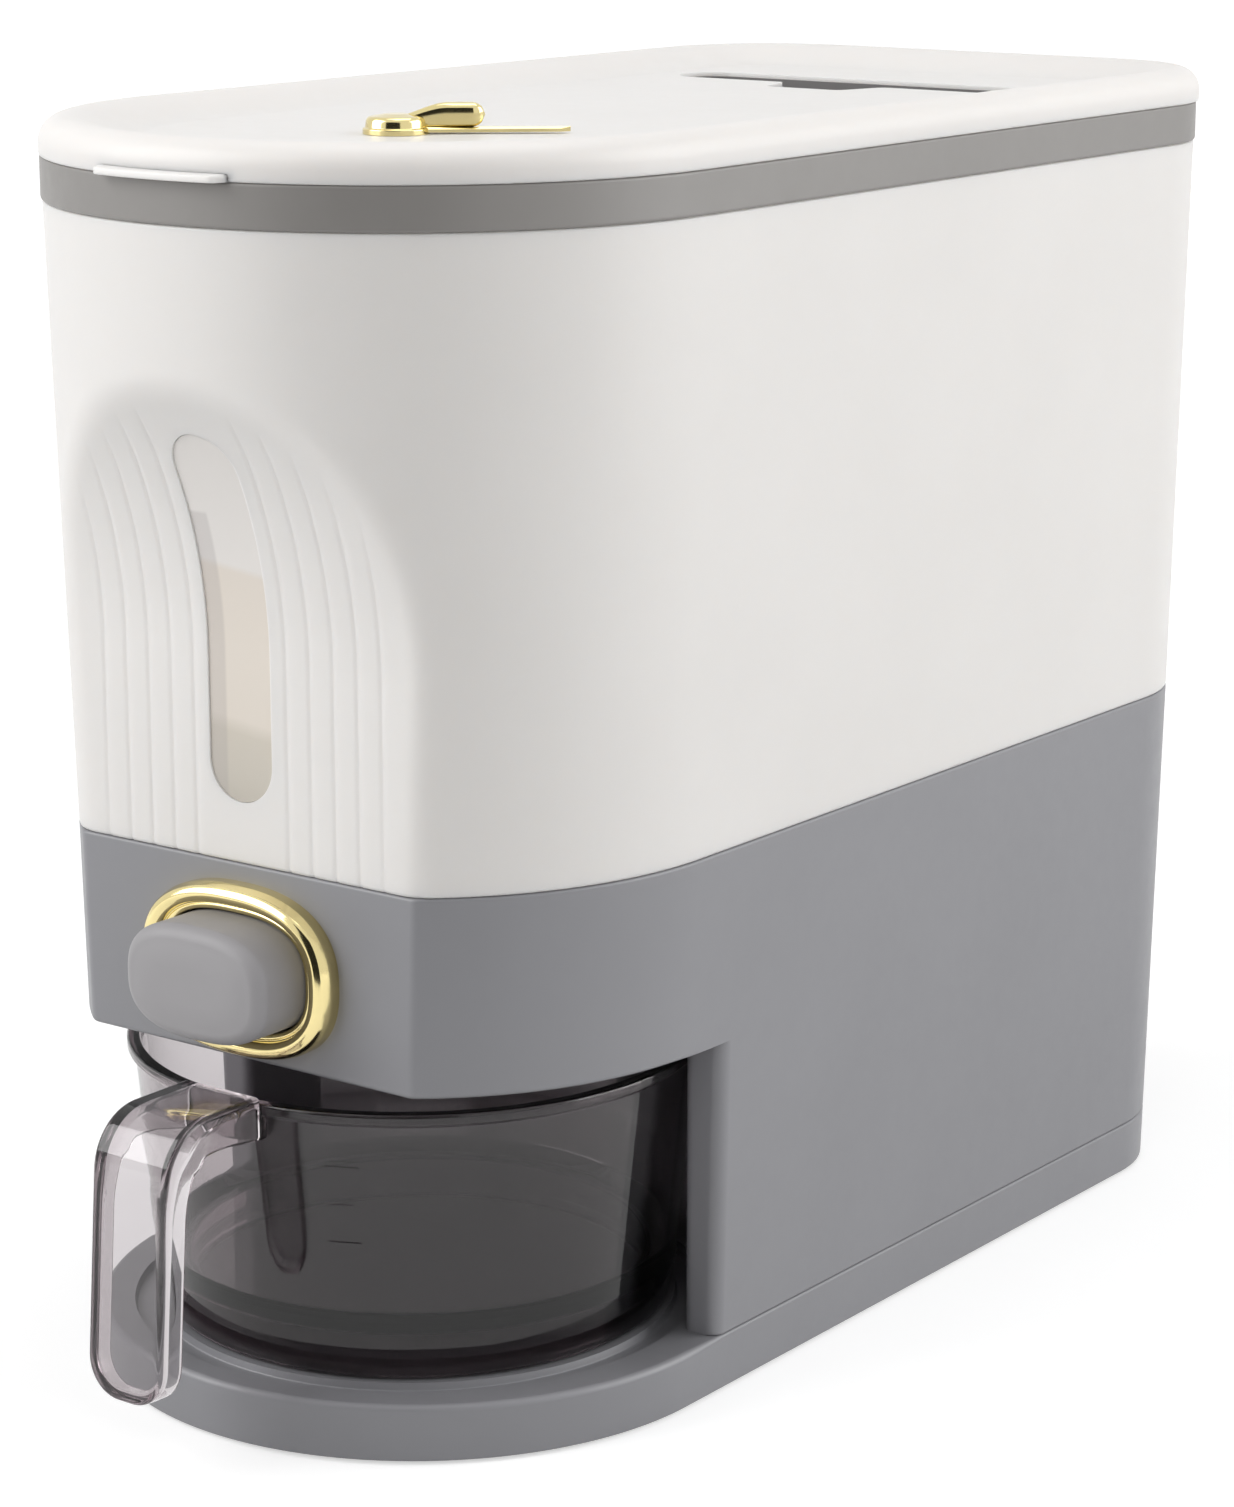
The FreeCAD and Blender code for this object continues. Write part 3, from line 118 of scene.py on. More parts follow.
def scaled(colour: Colour, share: float) -> Colour:
    """Lighten or darken a colour."""
    return min(colour[0] * share, 1.0), min(colour[1] * share, 1.0), min(colour[2] * share, 1.0)


def add_node(tree: bpy.types.NodeTree, kind: str, inputs: dict | None = None, **settings: object
             ) -> bpy.types.Node:
    """Add one node to a tree.

    Args:
        tree: The tree.
        kind: The node's type.
        inputs: A value or a socket to join for each input, by its name or number.
        **settings: Attributes of the node.

    Returns:
        The new node.
    """
    node = tree.nodes.new(kind)
    for name, value in settings.items():
        setattr(node, name, value)
    for name, value in (inputs or {}).items():
        if isinstance(value, bpy.types.NodeSocket):
            tree.links.new(value, node.inputs[name])
        else:
            node.inputs[name].default_value = value
    return node


class NodeSheet:
    """A material's node tree, with short calls to add and join nodes."""

    noise_low = 0.3
    noise_high = 0.7
    mix_one = 6
    mix_two = 7
    mixed = 2

    def __init__(self, name: str) -> None:
        """Start an empty material.

        Args:
            name: The material's name.
        """
        self.material = bpy.data.materials.new(name)
        self.material.use_nodes = True
        self.tree = self.material.node_tree
        self.tree.nodes.clear()
        self.out = self.add("ShaderNodeOutputMaterial")
        self.place = self.add("ShaderNodeTexCoord").outputs["Object"]

    def add(self, kind: str, inputs: dict | None = None, **settings: object) -> bpy.types.Node:
        """Add one node to this sheet."""
        return add_node(self.tree, kind, inputs, **settings)

    def noise(self, scale: float, detail: float = 2.0, rough: float = 0.5) -> bpy.types.NodeSocket:
        """Return a noise value over the piece, with cells of about 1 / scale metres."""
        return self.add("ShaderNodeTexNoise", {
            "Vector": self.place, "Scale": scale, "Detail": detail, "Roughness": rough}).outputs["Fac"]

    def remap(self, value: bpy.types.NodeSocket, given: Flat, wanted: Flat = (0.0, 1.0), **settings: object
              ) -> bpy.types.NodeSocket:
        """Turn one range of values into another.

        Args:
            value: The value.
            given: The range it comes in.
            wanted: The range it is turned into.
            **settings: Attributes of the node.

        Returns:
            The new value.
        """
        return self.add("ShaderNodeMapRange", {
            "Value": value, "From Min": given[0], "From Max": given[1], "To Min": wanted[0],
            "To Max": wanted[1]}, **settings).outputs["Result"]

    def spread(self, value: bpy.types.NodeSocket, low: float, high: float) -> bpy.types.NodeSocket:
        """Stretch the middle of a noise to a range of values."""
        return self.remap(value, (self.noise_low, self.noise_high), (low, high))

    def maths(self, operation: str, *values: float | bpy.types.NodeSocket) -> bpy.types.NodeSocket:
        """Return the result of an operation on values or sockets."""
        return self.add("ShaderNodeMath", dict(enumerate(values)), operation=operation).outputs["Value"]

    def blend(self, share: bpy.types.NodeSocket, one: bpy.types.NodeSocket, two: Colour
              ) -> bpy.types.NodeSocket:
        """Mix a colour into another by a share."""
        return self.add("ShaderNodeMix", {"Factor": share, self.mix_one: one, self.mix_two: (*two, 1.0)},
                        data_type="RGBA").outputs[self.mixed]

    def ramp(self, value: bpy.types.NodeSocket, tones: Iterable[tuple[float, Colour]]
             ) -> bpy.types.NodeSocket:
        """Run a value through colours.

        Args:
            value: The value, 0 to 1.
            tones: Place and colour of each mark, from low to high.

        Returns:
            The colour.
        """
        node = self.add("ShaderNodeValToRGB", {"Fac": value})
        marks = node.color_ramp.elements
        first, *middle, last = tones
        for mark, (place, colour) in zip(marks, (first, last)):
            mark.position, mark.color = place, (*colour, 1.0)
        for place, colour in middle:
            marks.new(place).color = (*colour, 1.0)
        return node.outputs["Color"]

    def tint(self, value: bpy.types.NodeSocket, low: Colour, high: Colour) -> bpy.types.NodeSocket:
        """Run a noise from one colour to another."""
        return self.ramp(value, ((self.noise_low, low), (self.noise_high, high)))

    def shades(self, value: bpy.types.NodeSocket, colour: Colour, low: float, high: float
               ) -> bpy.types.NodeSocket:
        """Run a noise from a darker to a lighter shade of a colour."""
        return self.tint(value, scaled(colour, low), scaled(colour, high))

    def bump(self, height: bpy.types.NodeSocket, depth: float, strength: float,
             under: bpy.types.NodeSocket | None = None) -> bpy.types.NodeSocket:
        """Raise the surface by a height map.

        Args:
            height: The height, 0 to 1.
            depth: What a height of 1 stands for, in metres.
            strength: How much of it shows.
            under: The normal of a coarser bump below this one.

        Returns:
            The bumped normal.
        """
        inputs = {"Height": height, "Distance": depth, "Strength": strength}
        if under is not None:
            inputs["Normal"] = under
        return self.add("ShaderNodeBump", inputs).outputs["Normal"]

    def show(self, shader: bpy.types.NodeSocket) -> bpy.types.Material:
        """Put a shader on the surface and return the material."""
        self.tree.links.new(shader, self.out.inputs["Surface"])
        return self.material

    def principled(self, inputs: dict) -> bpy.types.Material:
        """Put a principled shader on the surface and return the material."""
        return self.show(self.add("ShaderNodeBsdfPrincipled", inputs).outputs["BSDF"])


@dataclass(frozen=True)
class MouldedPlastic:
    """Opaque moulded plastic: faint clouding, spark-eroded grain and a slow ripple under the gloss."""

    name: str
    colour: Colour
    roughness: float = 0.38
    smoother: float = 0.04
    rougher: float = 0.05
    cloud: float = 0.025
    cloud_scale: float = 18.0
    scuff_scale: float = 140.0
    grain_size: float = 0.0006
    grain_depth: float = 0.00002
    grain_show: float = 0.35
    ripple_size: float = 0.03
    ripple_depth: float = 0.0004
    ripple_show: float = 0.12
    gloss: float = 0.5
    coat: float = 0.0
    coat_roughness: float = 0.12
    glow_through: float = 0.0
    glow_reach: float = 0.005
    glow_tint: Colour = (1.0, 0.95, 0.9)

    def build(self) -> bpy.types.Material:
        """Make the material.

        Returns:
            The material.
        """
        sheet = NodeSheet(self.name)
        clouds = sheet.noise(self.cloud_scale, 4.0)
        grain = sheet.noise(1 / self.grain_size, 3.0, 0.6)
        ripple = sheet.noise(1 / self.ripple_size, 1.0)
        scuff = sheet.noise(self.scuff_scale, 5.0, 0.65)
        slow = sheet.bump(ripple, self.ripple_depth, self.ripple_show)
        return sheet.principled({
            "Base Color": sheet.shades(clouds, self.colour, 1 - self.cloud, 1 + self.cloud),
            "Roughness": sheet.spread(scuff, self.roughness - self.smoother, self.roughness + self.rougher),
            "Normal": sheet.bump(grain, self.grain_depth, self.grain_show, slow),
            "Specular IOR Level": self.gloss,
            "Coat Weight": self.coat,
            "Coat Roughness": self.coat_roughness,
            "Subsurface Weight": self.glow_through,
            "Subsurface Scale": self.glow_reach,
            "Subsurface Radius": self.glow_tint,
        })


@dataclass(frozen=True)
class FlowLines:
    """Faint waves that the melt leaves in clear plastic."""

    scale: float = 22.0
    detail: float = 1.5
    depth: float = 0.0006
    show: float = 0.05

    def normal(self, sheet: NodeSheet) -> bpy.types.NodeSocket:
        """Return the waved normal."""
        return sheet.bump(sheet.noise(self.scale, self.detail), self.depth, self.show)


@dataclass(frozen=True)
class ClearPlastic:
    """Clear plastic that darkens with its thickness, with faint flow lines and scuffs."""

    name: str
    body: Colour
    density: float
    roughness: float = 0.0
    index: float = 1.49
    scuff: float = 0.004
    scuff_scale: float = 90.0
    scuff_shade: float = 0.97

    def build(self) -> bpy.types.Material:
        """Make the material.

        Returns:
            The material.
        """
        sheet = NodeSheet(self.name)
        scuff = sheet.noise(self.scuff_scale, 5.0, 0.7)
        normal = FlowLines().normal(sheet)
        sheet.principled({
            "Base Color": sheet.shades(scuff, PLAIN_WHITE[:3], self.scuff_shade, 1.0),
            "Roughness": sheet.spread(scuff, self.roughness, self.roughness + self.scuff),
            "Normal": normal,
            "IOR": self.index,
            "Transmission Weight": 1.0,
        })
        murk = sheet.add("ShaderNodeVolumeAbsorption", {"Color": (*self.body, 1.0), "Density": self.density})
        sheet.tree.links.new(murk.outputs["Volume"], sheet.out.inputs["Volume"])
        return sheet.material


@dataclass(frozen=True)
class MilkyWindowPaintedInside:
    """Half-clear window plastic with the hopper's inside painted on as light and shade: its tone steps down
    from its top to its foot, and a strip of painted shade darkens its left part.
    """

    name: str
    # Painted light and shade of the hopper's inside: place and colour of each mark, from the window's foot
    # to its top.
    tones: tuple[tuple[float, Colour], ...]
    low: float
    high: float
    slant: float
    # Painted shade over the window's left part: full left of this span of x, fading out across it, below
    # strip_top.
    strip: Flat
    strip_top: float
    painted_strip_shade: float
    milk: float
    strip_fade: float = 0.001
    painted_strip_colour: Colour = (0.42, 0.38, 0.38)
    veil: float = 0.05
    veil_tone: Colour = (0.80, 0.78, 0.76)
    cloud_scale: float = 60.0
    scuff_scale: float = 200.0
    smoothest: float = 0.03
    roughest: float = 0.07
    index: float = 1.49

    def build(self) -> bpy.types.Material:
        """Make the material.

        Returns:
            The material.
        """
        sheet = NodeSheet(self.name)
        cloud = sheet.noise(self.cloud_scale, 4.0)
        scuff = sheet.noise(self.scuff_scale, 5.0, 0.7)
        parts = sheet.add("ShaderNodeSeparateXYZ", {"Vector": sheet.place}).outputs
        tilt = sheet.maths("MULTIPLY_ADD", parts["X"], self.slant, parts["Z"])
        # Painted light and shade of the inside, darker towards the window's foot.
        tone = sheet.ramp(sheet.remap(tilt, (self.low, self.high)), self.tones)
        # Painted shade strip over the left part of the window, up to strip_top.
        across = sheet.remap(parts["X"], self.strip, (self.painted_strip_shade, 0.0),
                             interpolation_type="SMOOTHSTEP")
        above = sheet.remap(parts["Z"], (self.strip_top - self.strip_fade, self.strip_top), (1.0, 0.0))
        # Mixes the painted shade colour over the painted inside.
        shaded = sheet.blend(sheet.maths("MULTIPLY", across, above), tone, self.painted_strip_colour)
        return sheet.principled({
            "Base Color": sheet.blend(sheet.spread(cloud, 0.0, self.veil), shaded, self.veil_tone),
            "Roughness": sheet.spread(scuff, self.smoothest, self.roughest),
            "Normal": FlowLines().normal(sheet),
            "IOR": self.index,
            "Transmission Weight": 1.0 - self.milk,
        })


@dataclass(frozen=True)
class PlatedMetal:
    """Polished plating or plain steel, with a faint haze and hairline marks."""

    name: str
    colour: Colour
    roughness: float
    haze: float = 0.06
    haze_scale: float = 120.0
    haze_shades: Flat = (0.94, 1.04)
    marks: float = 0.04
    mark_scale: float = 900.0
    mark_depth: float = 0.00003

    def build(self) -> bpy.types.Material:
        """Make the material.

        Returns:
            The material.
        """
        sheet = NodeSheet(self.name)
        haze = sheet.noise(self.haze_scale, 4.0)
        hair = sheet.noise(self.mark_scale, 2.0)
        return sheet.principled({
            "Base Color": sheet.shades(haze, self.colour, *self.haze_shades),
            "Roughness": sheet.spread(haze, self.roughness, self.roughness + self.haze),
            "Normal": sheet.bump(hair, self.mark_depth, self.marks),
            "Metallic": 1.0,
        })


@dataclass(frozen=True)
class SoftRubber:
    """Rubber or silicone: matt, faintly dusty and a little uneven."""

    name: str
    colour: Colour
    roughness: float = 0.75
    uneven: float = 0.1
    dust_scale: float = 300.0
    dust_shades: Flat = (0.85, 1.2)
    grain_scale: float = 1500.0
    grain_depth: float = 0.00005
    grain_show: float = 0.3

    def build(self) -> bpy.types.Material:
        """Make the material.

        Returns:
            The material.
        """
        sheet = NodeSheet(self.name)
        dust = sheet.noise(self.dust_scale, 6.0, 0.7)
        grain = sheet.noise(self.grain_scale, 2.0)
        return sheet.principled({
            "Base Color": sheet.shades(dust, self.colour, *self.dust_shades),
            "Roughness": sheet.spread(dust, self.roughness - self.uneven, self.roughness + self.uneven),
            "Normal": sheet.bump(grain, self.grain_depth, self.grain_show),
        })


Finish = MouldedPlastic | ClearPlastic | MilkyWindowPaintedInside | PlatedMetal | SoftRubber

FINISHES: dict[Slot, Finish] = {
    Slot.WHITE: MouldedPlastic("white_moulding", from_screen(231, 228, 225), roughness=0.42, cloud=0.012,
                               glow_through=0.85),
    Slot.GREY: MouldedPlastic("grey_moulding", from_screen(130, 130, 134), roughness=0.44, grain_show=0.5,
                              gloss=0.75),
    Slot.DARK: MouldedPlastic("dark_moulding", from_screen(52, 52, 55), roughness=0.5, cloud=0.05),
    # Window with the hopper's inside painted on as light and shade.
    Slot.WINDOW: MilkyWindowPaintedInside("window_painted_inside_shade", (
        (0.0, from_screen(208, 201, 188)), (0.08, from_screen(216, 209, 196)),
        (0.18, from_screen(221, 213, 199)), (0.22, from_screen(240, 231, 219)),
        (0.62, from_screen(242, 233, 222)), (0.64, from_screen(247, 243, 239)),
        (1.0, from_screen(245, 241, 237))), low=0.184, high=0.289, slant=0.12, strip=(-0.0060, -0.0046),
        strip_top=0.266, painted_strip_shade=0.3, milk=0.78),
    Slot.SMOKE: ClearPlastic("smoked_plastic", (0.45, 0.376, 0.405), 258.0),
    Slot.CREAM: MouldedPlastic("cream_moulding", from_screen(222, 213, 198), roughness=0.4, cloud=0.02),
    Slot.GOLD: PlatedMetal("gold_plating", from_screen(227, 211, 154), 0.09),
    Slot.BUTTON: MouldedPlastic("button_moulding", from_screen(152, 150, 152), roughness=0.5,
                                grain_show=0.6),
    Slot.RUBBER: SoftRubber("foot_rubber", from_screen(58, 58, 60)),
    Slot.SEAL: SoftRubber("seal_silicone", from_screen(206, 206, 204), roughness=0.55),
    Slot.SPRING: PlatedMetal("spring_wire", from_screen(196, 196, 198), 0.22),
    Slot.PIN: PlatedMetal("pin_steel", from_screen(188, 188, 190), 0.28),
}
COLLAR_FINISH = MouldedPlastic("collar_moulding", from_screen(128, 125, 122), roughness=0.44, grain_show=0.5,
                               gloss=0.75)
# Darker grey of the moisture tray, also used as painted shade on the recess's lining.
TRAY_AND_RECESS_SHADE_FINISH = MouldedPlastic("tray_and_recess_shade_moulding", from_screen(112, 110, 109), roughness=0.5, grain_show=0.5)


class Dresser:
    """Makes each finish once and puts it on pieces."""

    def __init__(self) -> None:
        """Start with no material made."""
        self.made: dict[Finish, bpy.types.Material] = {}

    def material(self, finish: Finish) -> bpy.types.Material:
        """Return a finish's material, made the first time that it is asked for.

        Args:
            finish: The finish.

        Returns:
            The material.
        """
        if finish not in self.made:
            self.made[finish] = finish.build()
        return self.made[finish]

    def dress(self, piece: bpy.types.Object, slot: Slot, body: Body, *nodes: str,
              finish: Finish | None = None) -> bpy.types.Object:
        """Finish a modelled piece and set it on its body.

        Args:
            piece: The piece.
            slot: Its material slot, which also gives its finish.
            body: The body it rides on.
            *nodes: The nodes it stands for.
            finish: A finish of its own in place of the slot's.

        Returns:
            The piece.
        """
        piece.data.materials.clear()
        piece.data.materials.append(self.material(finish or FINISHES[slot]))
        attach(piece, body.value)
        if nodes:
            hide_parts(*nodes)
        LOG.info("%s: %d faces, %s on %s", piece.name, len(piece.data.polygons), slot.value, body.value)
        return piece

    def restyle(self, slot: Slot, *nodes: str) -> None:
        """Give nodes of the frame a finish and leave their shape.

        Args:
            slot: Their finish.
            *nodes: The nodes.
        """
        for node in nodes:
            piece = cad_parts[node]
            if not piece.material_slots:
                piece.data.materials.append(None)
            for place in piece.material_slots:
                place.material = self.material(FINISHES[slot])
            LOG.info("%s: kept from the frame, %s", node, slot.value)


# ---------------------------------------------------------------- mesh making


class Skin:
    """Points and faces of one mesh, built up from rings."""

    alike = 1e-7

    def __init__(self, name: str) -> None:
        """Start an empty mesh.

        Args:
            name: The name of the piece.
        """
        self.name = name
        self.spots: list[Spot] = []
        self.faces: list[list[int]] = []

    def ring(self, spots: list[Spot]) -> list[int]:
        """Add points and return their numbers."""
        self.spots.extend(spots)
        return list(range(len(self.spots) - len(spots), len(self.spots)))

    def band(self, one: list[int], two: list[int], closed: bool = True) -> None:
        """Join two rings of as many points by a strip of faces.

        Args:
            one: The first ring.
            two: The second ring.
            closed: Whether the strip goes all the way round.
        """
        count = len(one)
        for index in range(count if closed else count - 1):
            after = (index + 1) % count
            self.faces.append([one[index], one[after], two[after], two[index]])

    def stack(self, rings: list[list[int]], closed: bool = True) -> None:
        """Join each ring to the next."""
        for one, two in zip(rings, rings[1:]):
            self.band(one, two, closed)

    def cap(self, *rings: list[int]) -> None:
        """Close rings with one face each."""
        self.faces.extend(list(ring) for ring in rings)

    def loft(self, layers: Iterable[list[Spot]], looped: bool = False) -> None:
        """Add a solid through outlines of as many points.

        Args:
            layers: The outlines, in order.
            looped: Whether the last joins the first; if not, both are closed.
        """
        rings = [self.ring(layer) for layer in layers]
        self.stack(rings)
        if looped:
            self.band(rings[-1], rings[0])
        else:
            self.cap(rings[0], rings[-1])

    def build(self, sharp: float = SHARP) -> bpy.types.Object:
        """Make the object, with its faces turned outwards and shaded smooth up to an angle.

        Args:
            sharp: The angle, in radians, from which an edge stays sharp.

        Returns:
            The object, linked to the scene.
        """
        mesh = bpy.data.meshes.new(self.name)
        mesh.from_pydata(self.spots, [], self.faces)
        work = bmesh.new()
        work.from_mesh(mesh)
        bmesh.ops.remove_doubles(work, verts=work.verts, dist=self.alike)
        bmesh.ops.recalc_face_normals(work, faces=work.faces)
        work.to_mesh(mesh)
        work.free()
        piece = linked(self.name, mesh)
        smooth(piece, sharp)
        return piece


def linked(name: str, data: bpy.types.ID) -> bpy.types.Object:
    """Make an object and link it to the scene.

    Args:
        name: Its name.
        data: Its mesh, lamp or camera.

    Returns:
        The object.
    """
    piece = bpy.data.objects.new(name, data)
    bpy.context.scene.collection.objects.link(piece)
    return piece


def lofted(name: str, layers: Iterable[list[Spot]], looped: bool = False, sharp: float = SHARP
           ) -> bpy.types.Object:
    """Make a piece through outlines of as many points.

    Args:
        name: The piece's name.
        layers: The outlines, in order.
        looped: Whether the last joins the first; if not, both are closed.
        sharp: The angle from which an edge stays sharp.

    Returns:
        The piece.
    """
    skin = Skin(name)
    skin.loft(layers, looped)
    return skin.build(sharp)


def smooth(piece: bpy.types.Object, sharp: float = SHARP) -> None:
    """Shade a piece smooth, with edges over an angle sharp and large flats kept flat.

    Args:
        piece: The piece.
        sharp: The angle, in radians.
    """
    piece.data.shade_smooth()
    piece.data.set_sharp_from_angle(angle=sharp)
    if "even_shade" not in piece.modifiers:
        even = piece.modifiers.new("even_shade", "WEIGHTED_NORMAL")
        even.keep_sharp = True
        even.weight = 60


def smooth_now(piece: bpy.types.Object) -> None:
    """Shade a piece smooth all over, with no modifier."""
    piece.modifiers.clear()
    piece.data.shade_smooth()


def settle(piece: bpy.types.Object) -> None:
    """Turn a piece's modifiers into its mesh.

    Args:
        piece: The piece.
    """
    graph = bpy.context.evaluated_depsgraph_get()
    done = bpy.data.meshes.new_from_object(piece.evaluated_get(graph))
    piece.modifiers.clear()
    old = piece.data
    piece.data = done
    bpy.data.meshes.remove(old)


def drop_shade(*pieces: bpy.types.Object) -> None:
    """Take the even shading off pieces, before another modifier is settled.

    Args:
        *pieces: The pieces.
    """
    for piece in pieces:
        for modifier in list(piece.modifiers):
            if modifier.type == "WEIGHTED_NORMAL":
                piece.modifiers.remove(modifier)


def carve(piece: bpy.types.Object, tool: bpy.types.Object, how: str = "DIFFERENCE") -> None:
    """Cut a piece with a tool, or join or trim it, and remove the tool.

    Args:
        piece: The piece.
        tool: The other solid.
        how: DIFFERENCE, UNION or INTERSECT.
    """
    drop_shade(piece, tool)
    cut = piece.modifiers.new("cut", "BOOLEAN")
    cut.operation = how
    cut.solver = "EXACT"
    cut.object = tool
    settle(piece)
    bpy.data.objects.remove(tool, do_unlink=True)
    smooth(piece)


def merge(piece: bpy.types.Object, *others: bpy.types.Object) -> bpy.types.Object:
    """Put separate solids into one object.

    Args:
        piece: The object that stays.
        *others: The objects that join it.

    Returns:
        The first object.
    """
    work = bmesh.new()
    for item in (piece, *others):
        settle(item)
        work.from_mesh(item.data)
    work.to_mesh(piece.data)
    work.free()
    for item in others:
        bpy.data.objects.remove(item, do_unlink=True)
    smooth(piece)
    return piece


def bevelled(piece: bpy.types.Object, width: float, steps: int = 3) -> bpy.types.Object:
    """Round a piece's sharp edges.

    Args:
        piece: The piece.
        width: How far the rounding reaches from each edge.
        steps: Faces across the rounding.

    Returns:
        The piece.
    """
    bevel = piece.modifiers.new("round_edges", "BEVEL")
    bevel.width = width
    bevel.segments = steps
    bevel.limit_method = "ANGLE"
    bevel.angle_limit = BEVEL_FROM
    drop_shade(piece)
    settle(piece)
    smooth(piece)
    return piece


def soft_copy(node: str, name: str, width: float) -> bpy.types.Object:
    """Model a plain flat-sided node again with rounded edges.

    Args:
        node: The node.
        name: The new piece's name.
        width: The rounding of its edges.

    Returns:
        The new piece.
    """
    work = bmesh.new()
    work.from_mesh(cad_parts[node].data)
    bmesh.ops.remove_doubles(work, verts=work.verts, dist=1e-6)
    bmesh.ops.dissolve_limit(work, angle_limit=math.radians(1), verts=work.verts, edges=work.edges)
    mesh = bpy.data.meshes.new(name)
    work.to_mesh(mesh)
    work.free()
    return bevelled(linked(name, mesh), width, 2)


# ---------------------------------------------------------------- outlines


def shares(steps: int, first: int = 0) -> list[float]:
    """Return even shares up to 1, from the step given."""
    return [index / steps for index in range(first, steps + 1)]


def between(low: float, high: float, steps: int, first: int = 0) -> list[float]:
    """Return even values up to a high one, from the step given."""
    return [low + (high - low) * index / steps for index in range(first, steps + 1)]


def arc(centre: Flat, radius: float, start: float, end: float, steps: int) -> list[Flat]:
    """Return points along an arc, both ends included, with angles from the first axis to the second."""
    return [(centre[0] + radius * math.cos(turn), centre[1] + radius * math.sin(turn))
            for turn in between(start, end, steps)]


def circle(centre: Flat, radius: float, steps: int) -> list[Flat]:
    """Return points round a circle."""
    return arc(centre, radius, 0.0, 2 * math.pi, steps)[:-1]


def both_sides(right: list[Flat]) -> list[Flat]:
    """Return a path from left to right, from its right half, which starts on the middle line."""
    return [(-x, y) for x, y in reversed(right[1:])] + right


def raised(shape: Iterable[Flat], z: float) -> list[Spot]:
    """Return plan points at a height."""
    return [(x, y, z) for x, y in shape]


def rounded(corners: list[Corner], steps: int = 6) -> list[Flat]:
    """Round the corners of an open path.

    Args:
        corners: Two coordinates and a radius for each corner.
        steps: Points along each rounding.

    Returns:
        The path's points.
    """
    out: list[Flat] = [corners[0][:2]]
    for before, here, after in zip(corners, corners[1:], corners[2:]):
        spot = Vector(here[:2])
        one, two = Vector(before[:2]) - spot, Vector(after[:2]) - spot
        turn = math.pi - one.angle(two)
        if here[2] <= 0 or turn < 1e-4:
            out.append((spot.x, spot.y))
            continue
        reach = min(here[2] * math.tan(turn / 2), one.length * 0.49, two.length * 0.49)
        start, end = spot + one.normalized() * reach, spot + two.normalized() * reach
        for share in shares(steps):
            out.append(tuple(start * (1 - share) ** 2 + spot * 2 * share * (1 - share) + end * share ** 2))
    out.append(corners[-1][:2])
    return out


def rounded_arc(corners: list[Corner], steps: int) -> list[Flat]:
    """Round the middle corner of a three-point path with a true arc.

    Args:
        corners: The three corners, with a radius at the middle one.
        steps: Faces along the arc.

    Returns:
        The path's points.
    """
    start, spot, end = (Vector(corner[:2]) for corner in corners)
    one, two = (start - spot).normalized(), (end - spot).normalized()
    half = one.angle(two) / 2
    radius = corners[1][2]
    middle = spot + (one + two).normalized() * (radius / math.sin(half))
    first = spot + one * (radius / math.tan(half)) - middle
    last = spot + two * (radius / math.tan(half)) - middle
    out: list[Flat] = [corners[0][:2]]
    for turn in between(0.0, -first.angle_signed(last), steps):
        arm = first.copy()
        arm.rotate(Matrix.Rotation(turn, 2))
        out.append((middle.x + arm.x, middle.y + arm.y))
    return out + [corners[2][:2]]


def pill(half: float, tall: float, corner: float, steps: int) -> list[Flat]:
    """Return an upright rounded rectangle about the origin.

    Args:
        half: Half its width.
        tall: Half its height.
        corner: The radius of its corners.
        steps: Faces in each corner.

    Returns:
        Its points, counterclockwise from the right.
    """
    out = []
    for quarter, (x, z) in enumerate(((1, 1), (-1, 1), (-1, -1), (1, -1))):
        middle = (x * (half - corner), z * (tall - corner))
        out += arc(middle, corner, QUARTER * quarter, QUARTER * (quarter + 1), steps)
    return out


def slot_outline(half: float, tall: float, arc_steps: int, side_steps: int) -> list[Flat]:
    """Return a slot outline with round ends and points along its straight sides.

    Args:
        half: Half its width, which is the radius of its ends.
        tall: Half its height.
        arc_steps: Faces round each end.
        side_steps: Faces along each side.

    Returns:
        Its points, counterclockwise from the lower right.
    """
    straight = tall - half
    out = [(half, up) for up in between(-straight, straight, side_steps)[:-1]]
    out += arc((0.0, straight), half, 0.0, HALF_TURN, arc_steps)[:-1]
    return out + [(-x, -z) for x, z in out]


def oval(half: float, tall: float, power: float, steps: int = 144) -> list[Flat]:
    """Return an upright outline between an ellipse and a rectangle, about the origin.

    Args:
        half: Half its width.
        tall: Half its height.
        power: 2 for an ellipse, more for a squarer form.
        steps: Its number of points.

    Returns:
        Its points, counterclockwise from the right.
    """
    out = []
    for across, up in circle((0.0, 0.0), 1.0, steps):
        reach = (abs(across) ** power + abs(up) ** power) ** (-1 / power)
        out.append((half * across * reach, tall * up * reach))
    return out


def easing(share: float) -> float:
    """Return a smooth step from 0 to 1."""
    share = min(max(share, 0.0), 1.0)
    return share * share * (3 - 2 * share)


def seam_edge(deep: float) -> list[Flat]:
    """Return inset and drop pairs of an edge that leaves a narrow dark line at a joint."""
    return [(deep, 0.0), (deep * 0.45, deep * 0.12), (deep * 0.16, deep * 0.34), (deep * 0.04, deep * 0.66),
            (0.0, deep)]


def quarter_round(radius: float, steps: int) -> list[Flat]:
    """Return inset and drop pairs down a rounded edge, from the top face to the side."""
    return [(radius * (1 - math.sin(turn)), radius * (1 - math.cos(turn)))
            for turn in between(0.0, QUARTER, steps)]


def block(name: str, low: Spot, high: Spot, width: float = 0.0) -> bpy.types.Object:
    """Make a box between two corners, with rounded edges if a width is given.

    Args:
        name: The piece's name.
        low: The lowest corner.
        high: The highest corner.
        width: The rounding of the edges.

    Returns:
        The box.
    """
    square = [(low[0], low[1]), (high[0], low[1]), (high[0], high[1]), (low[0], high[1])]
    piece = lofted(name, (raised(square, low[2]), raised(square, high[2])))
    return bevelled(piece, width) if width else piece


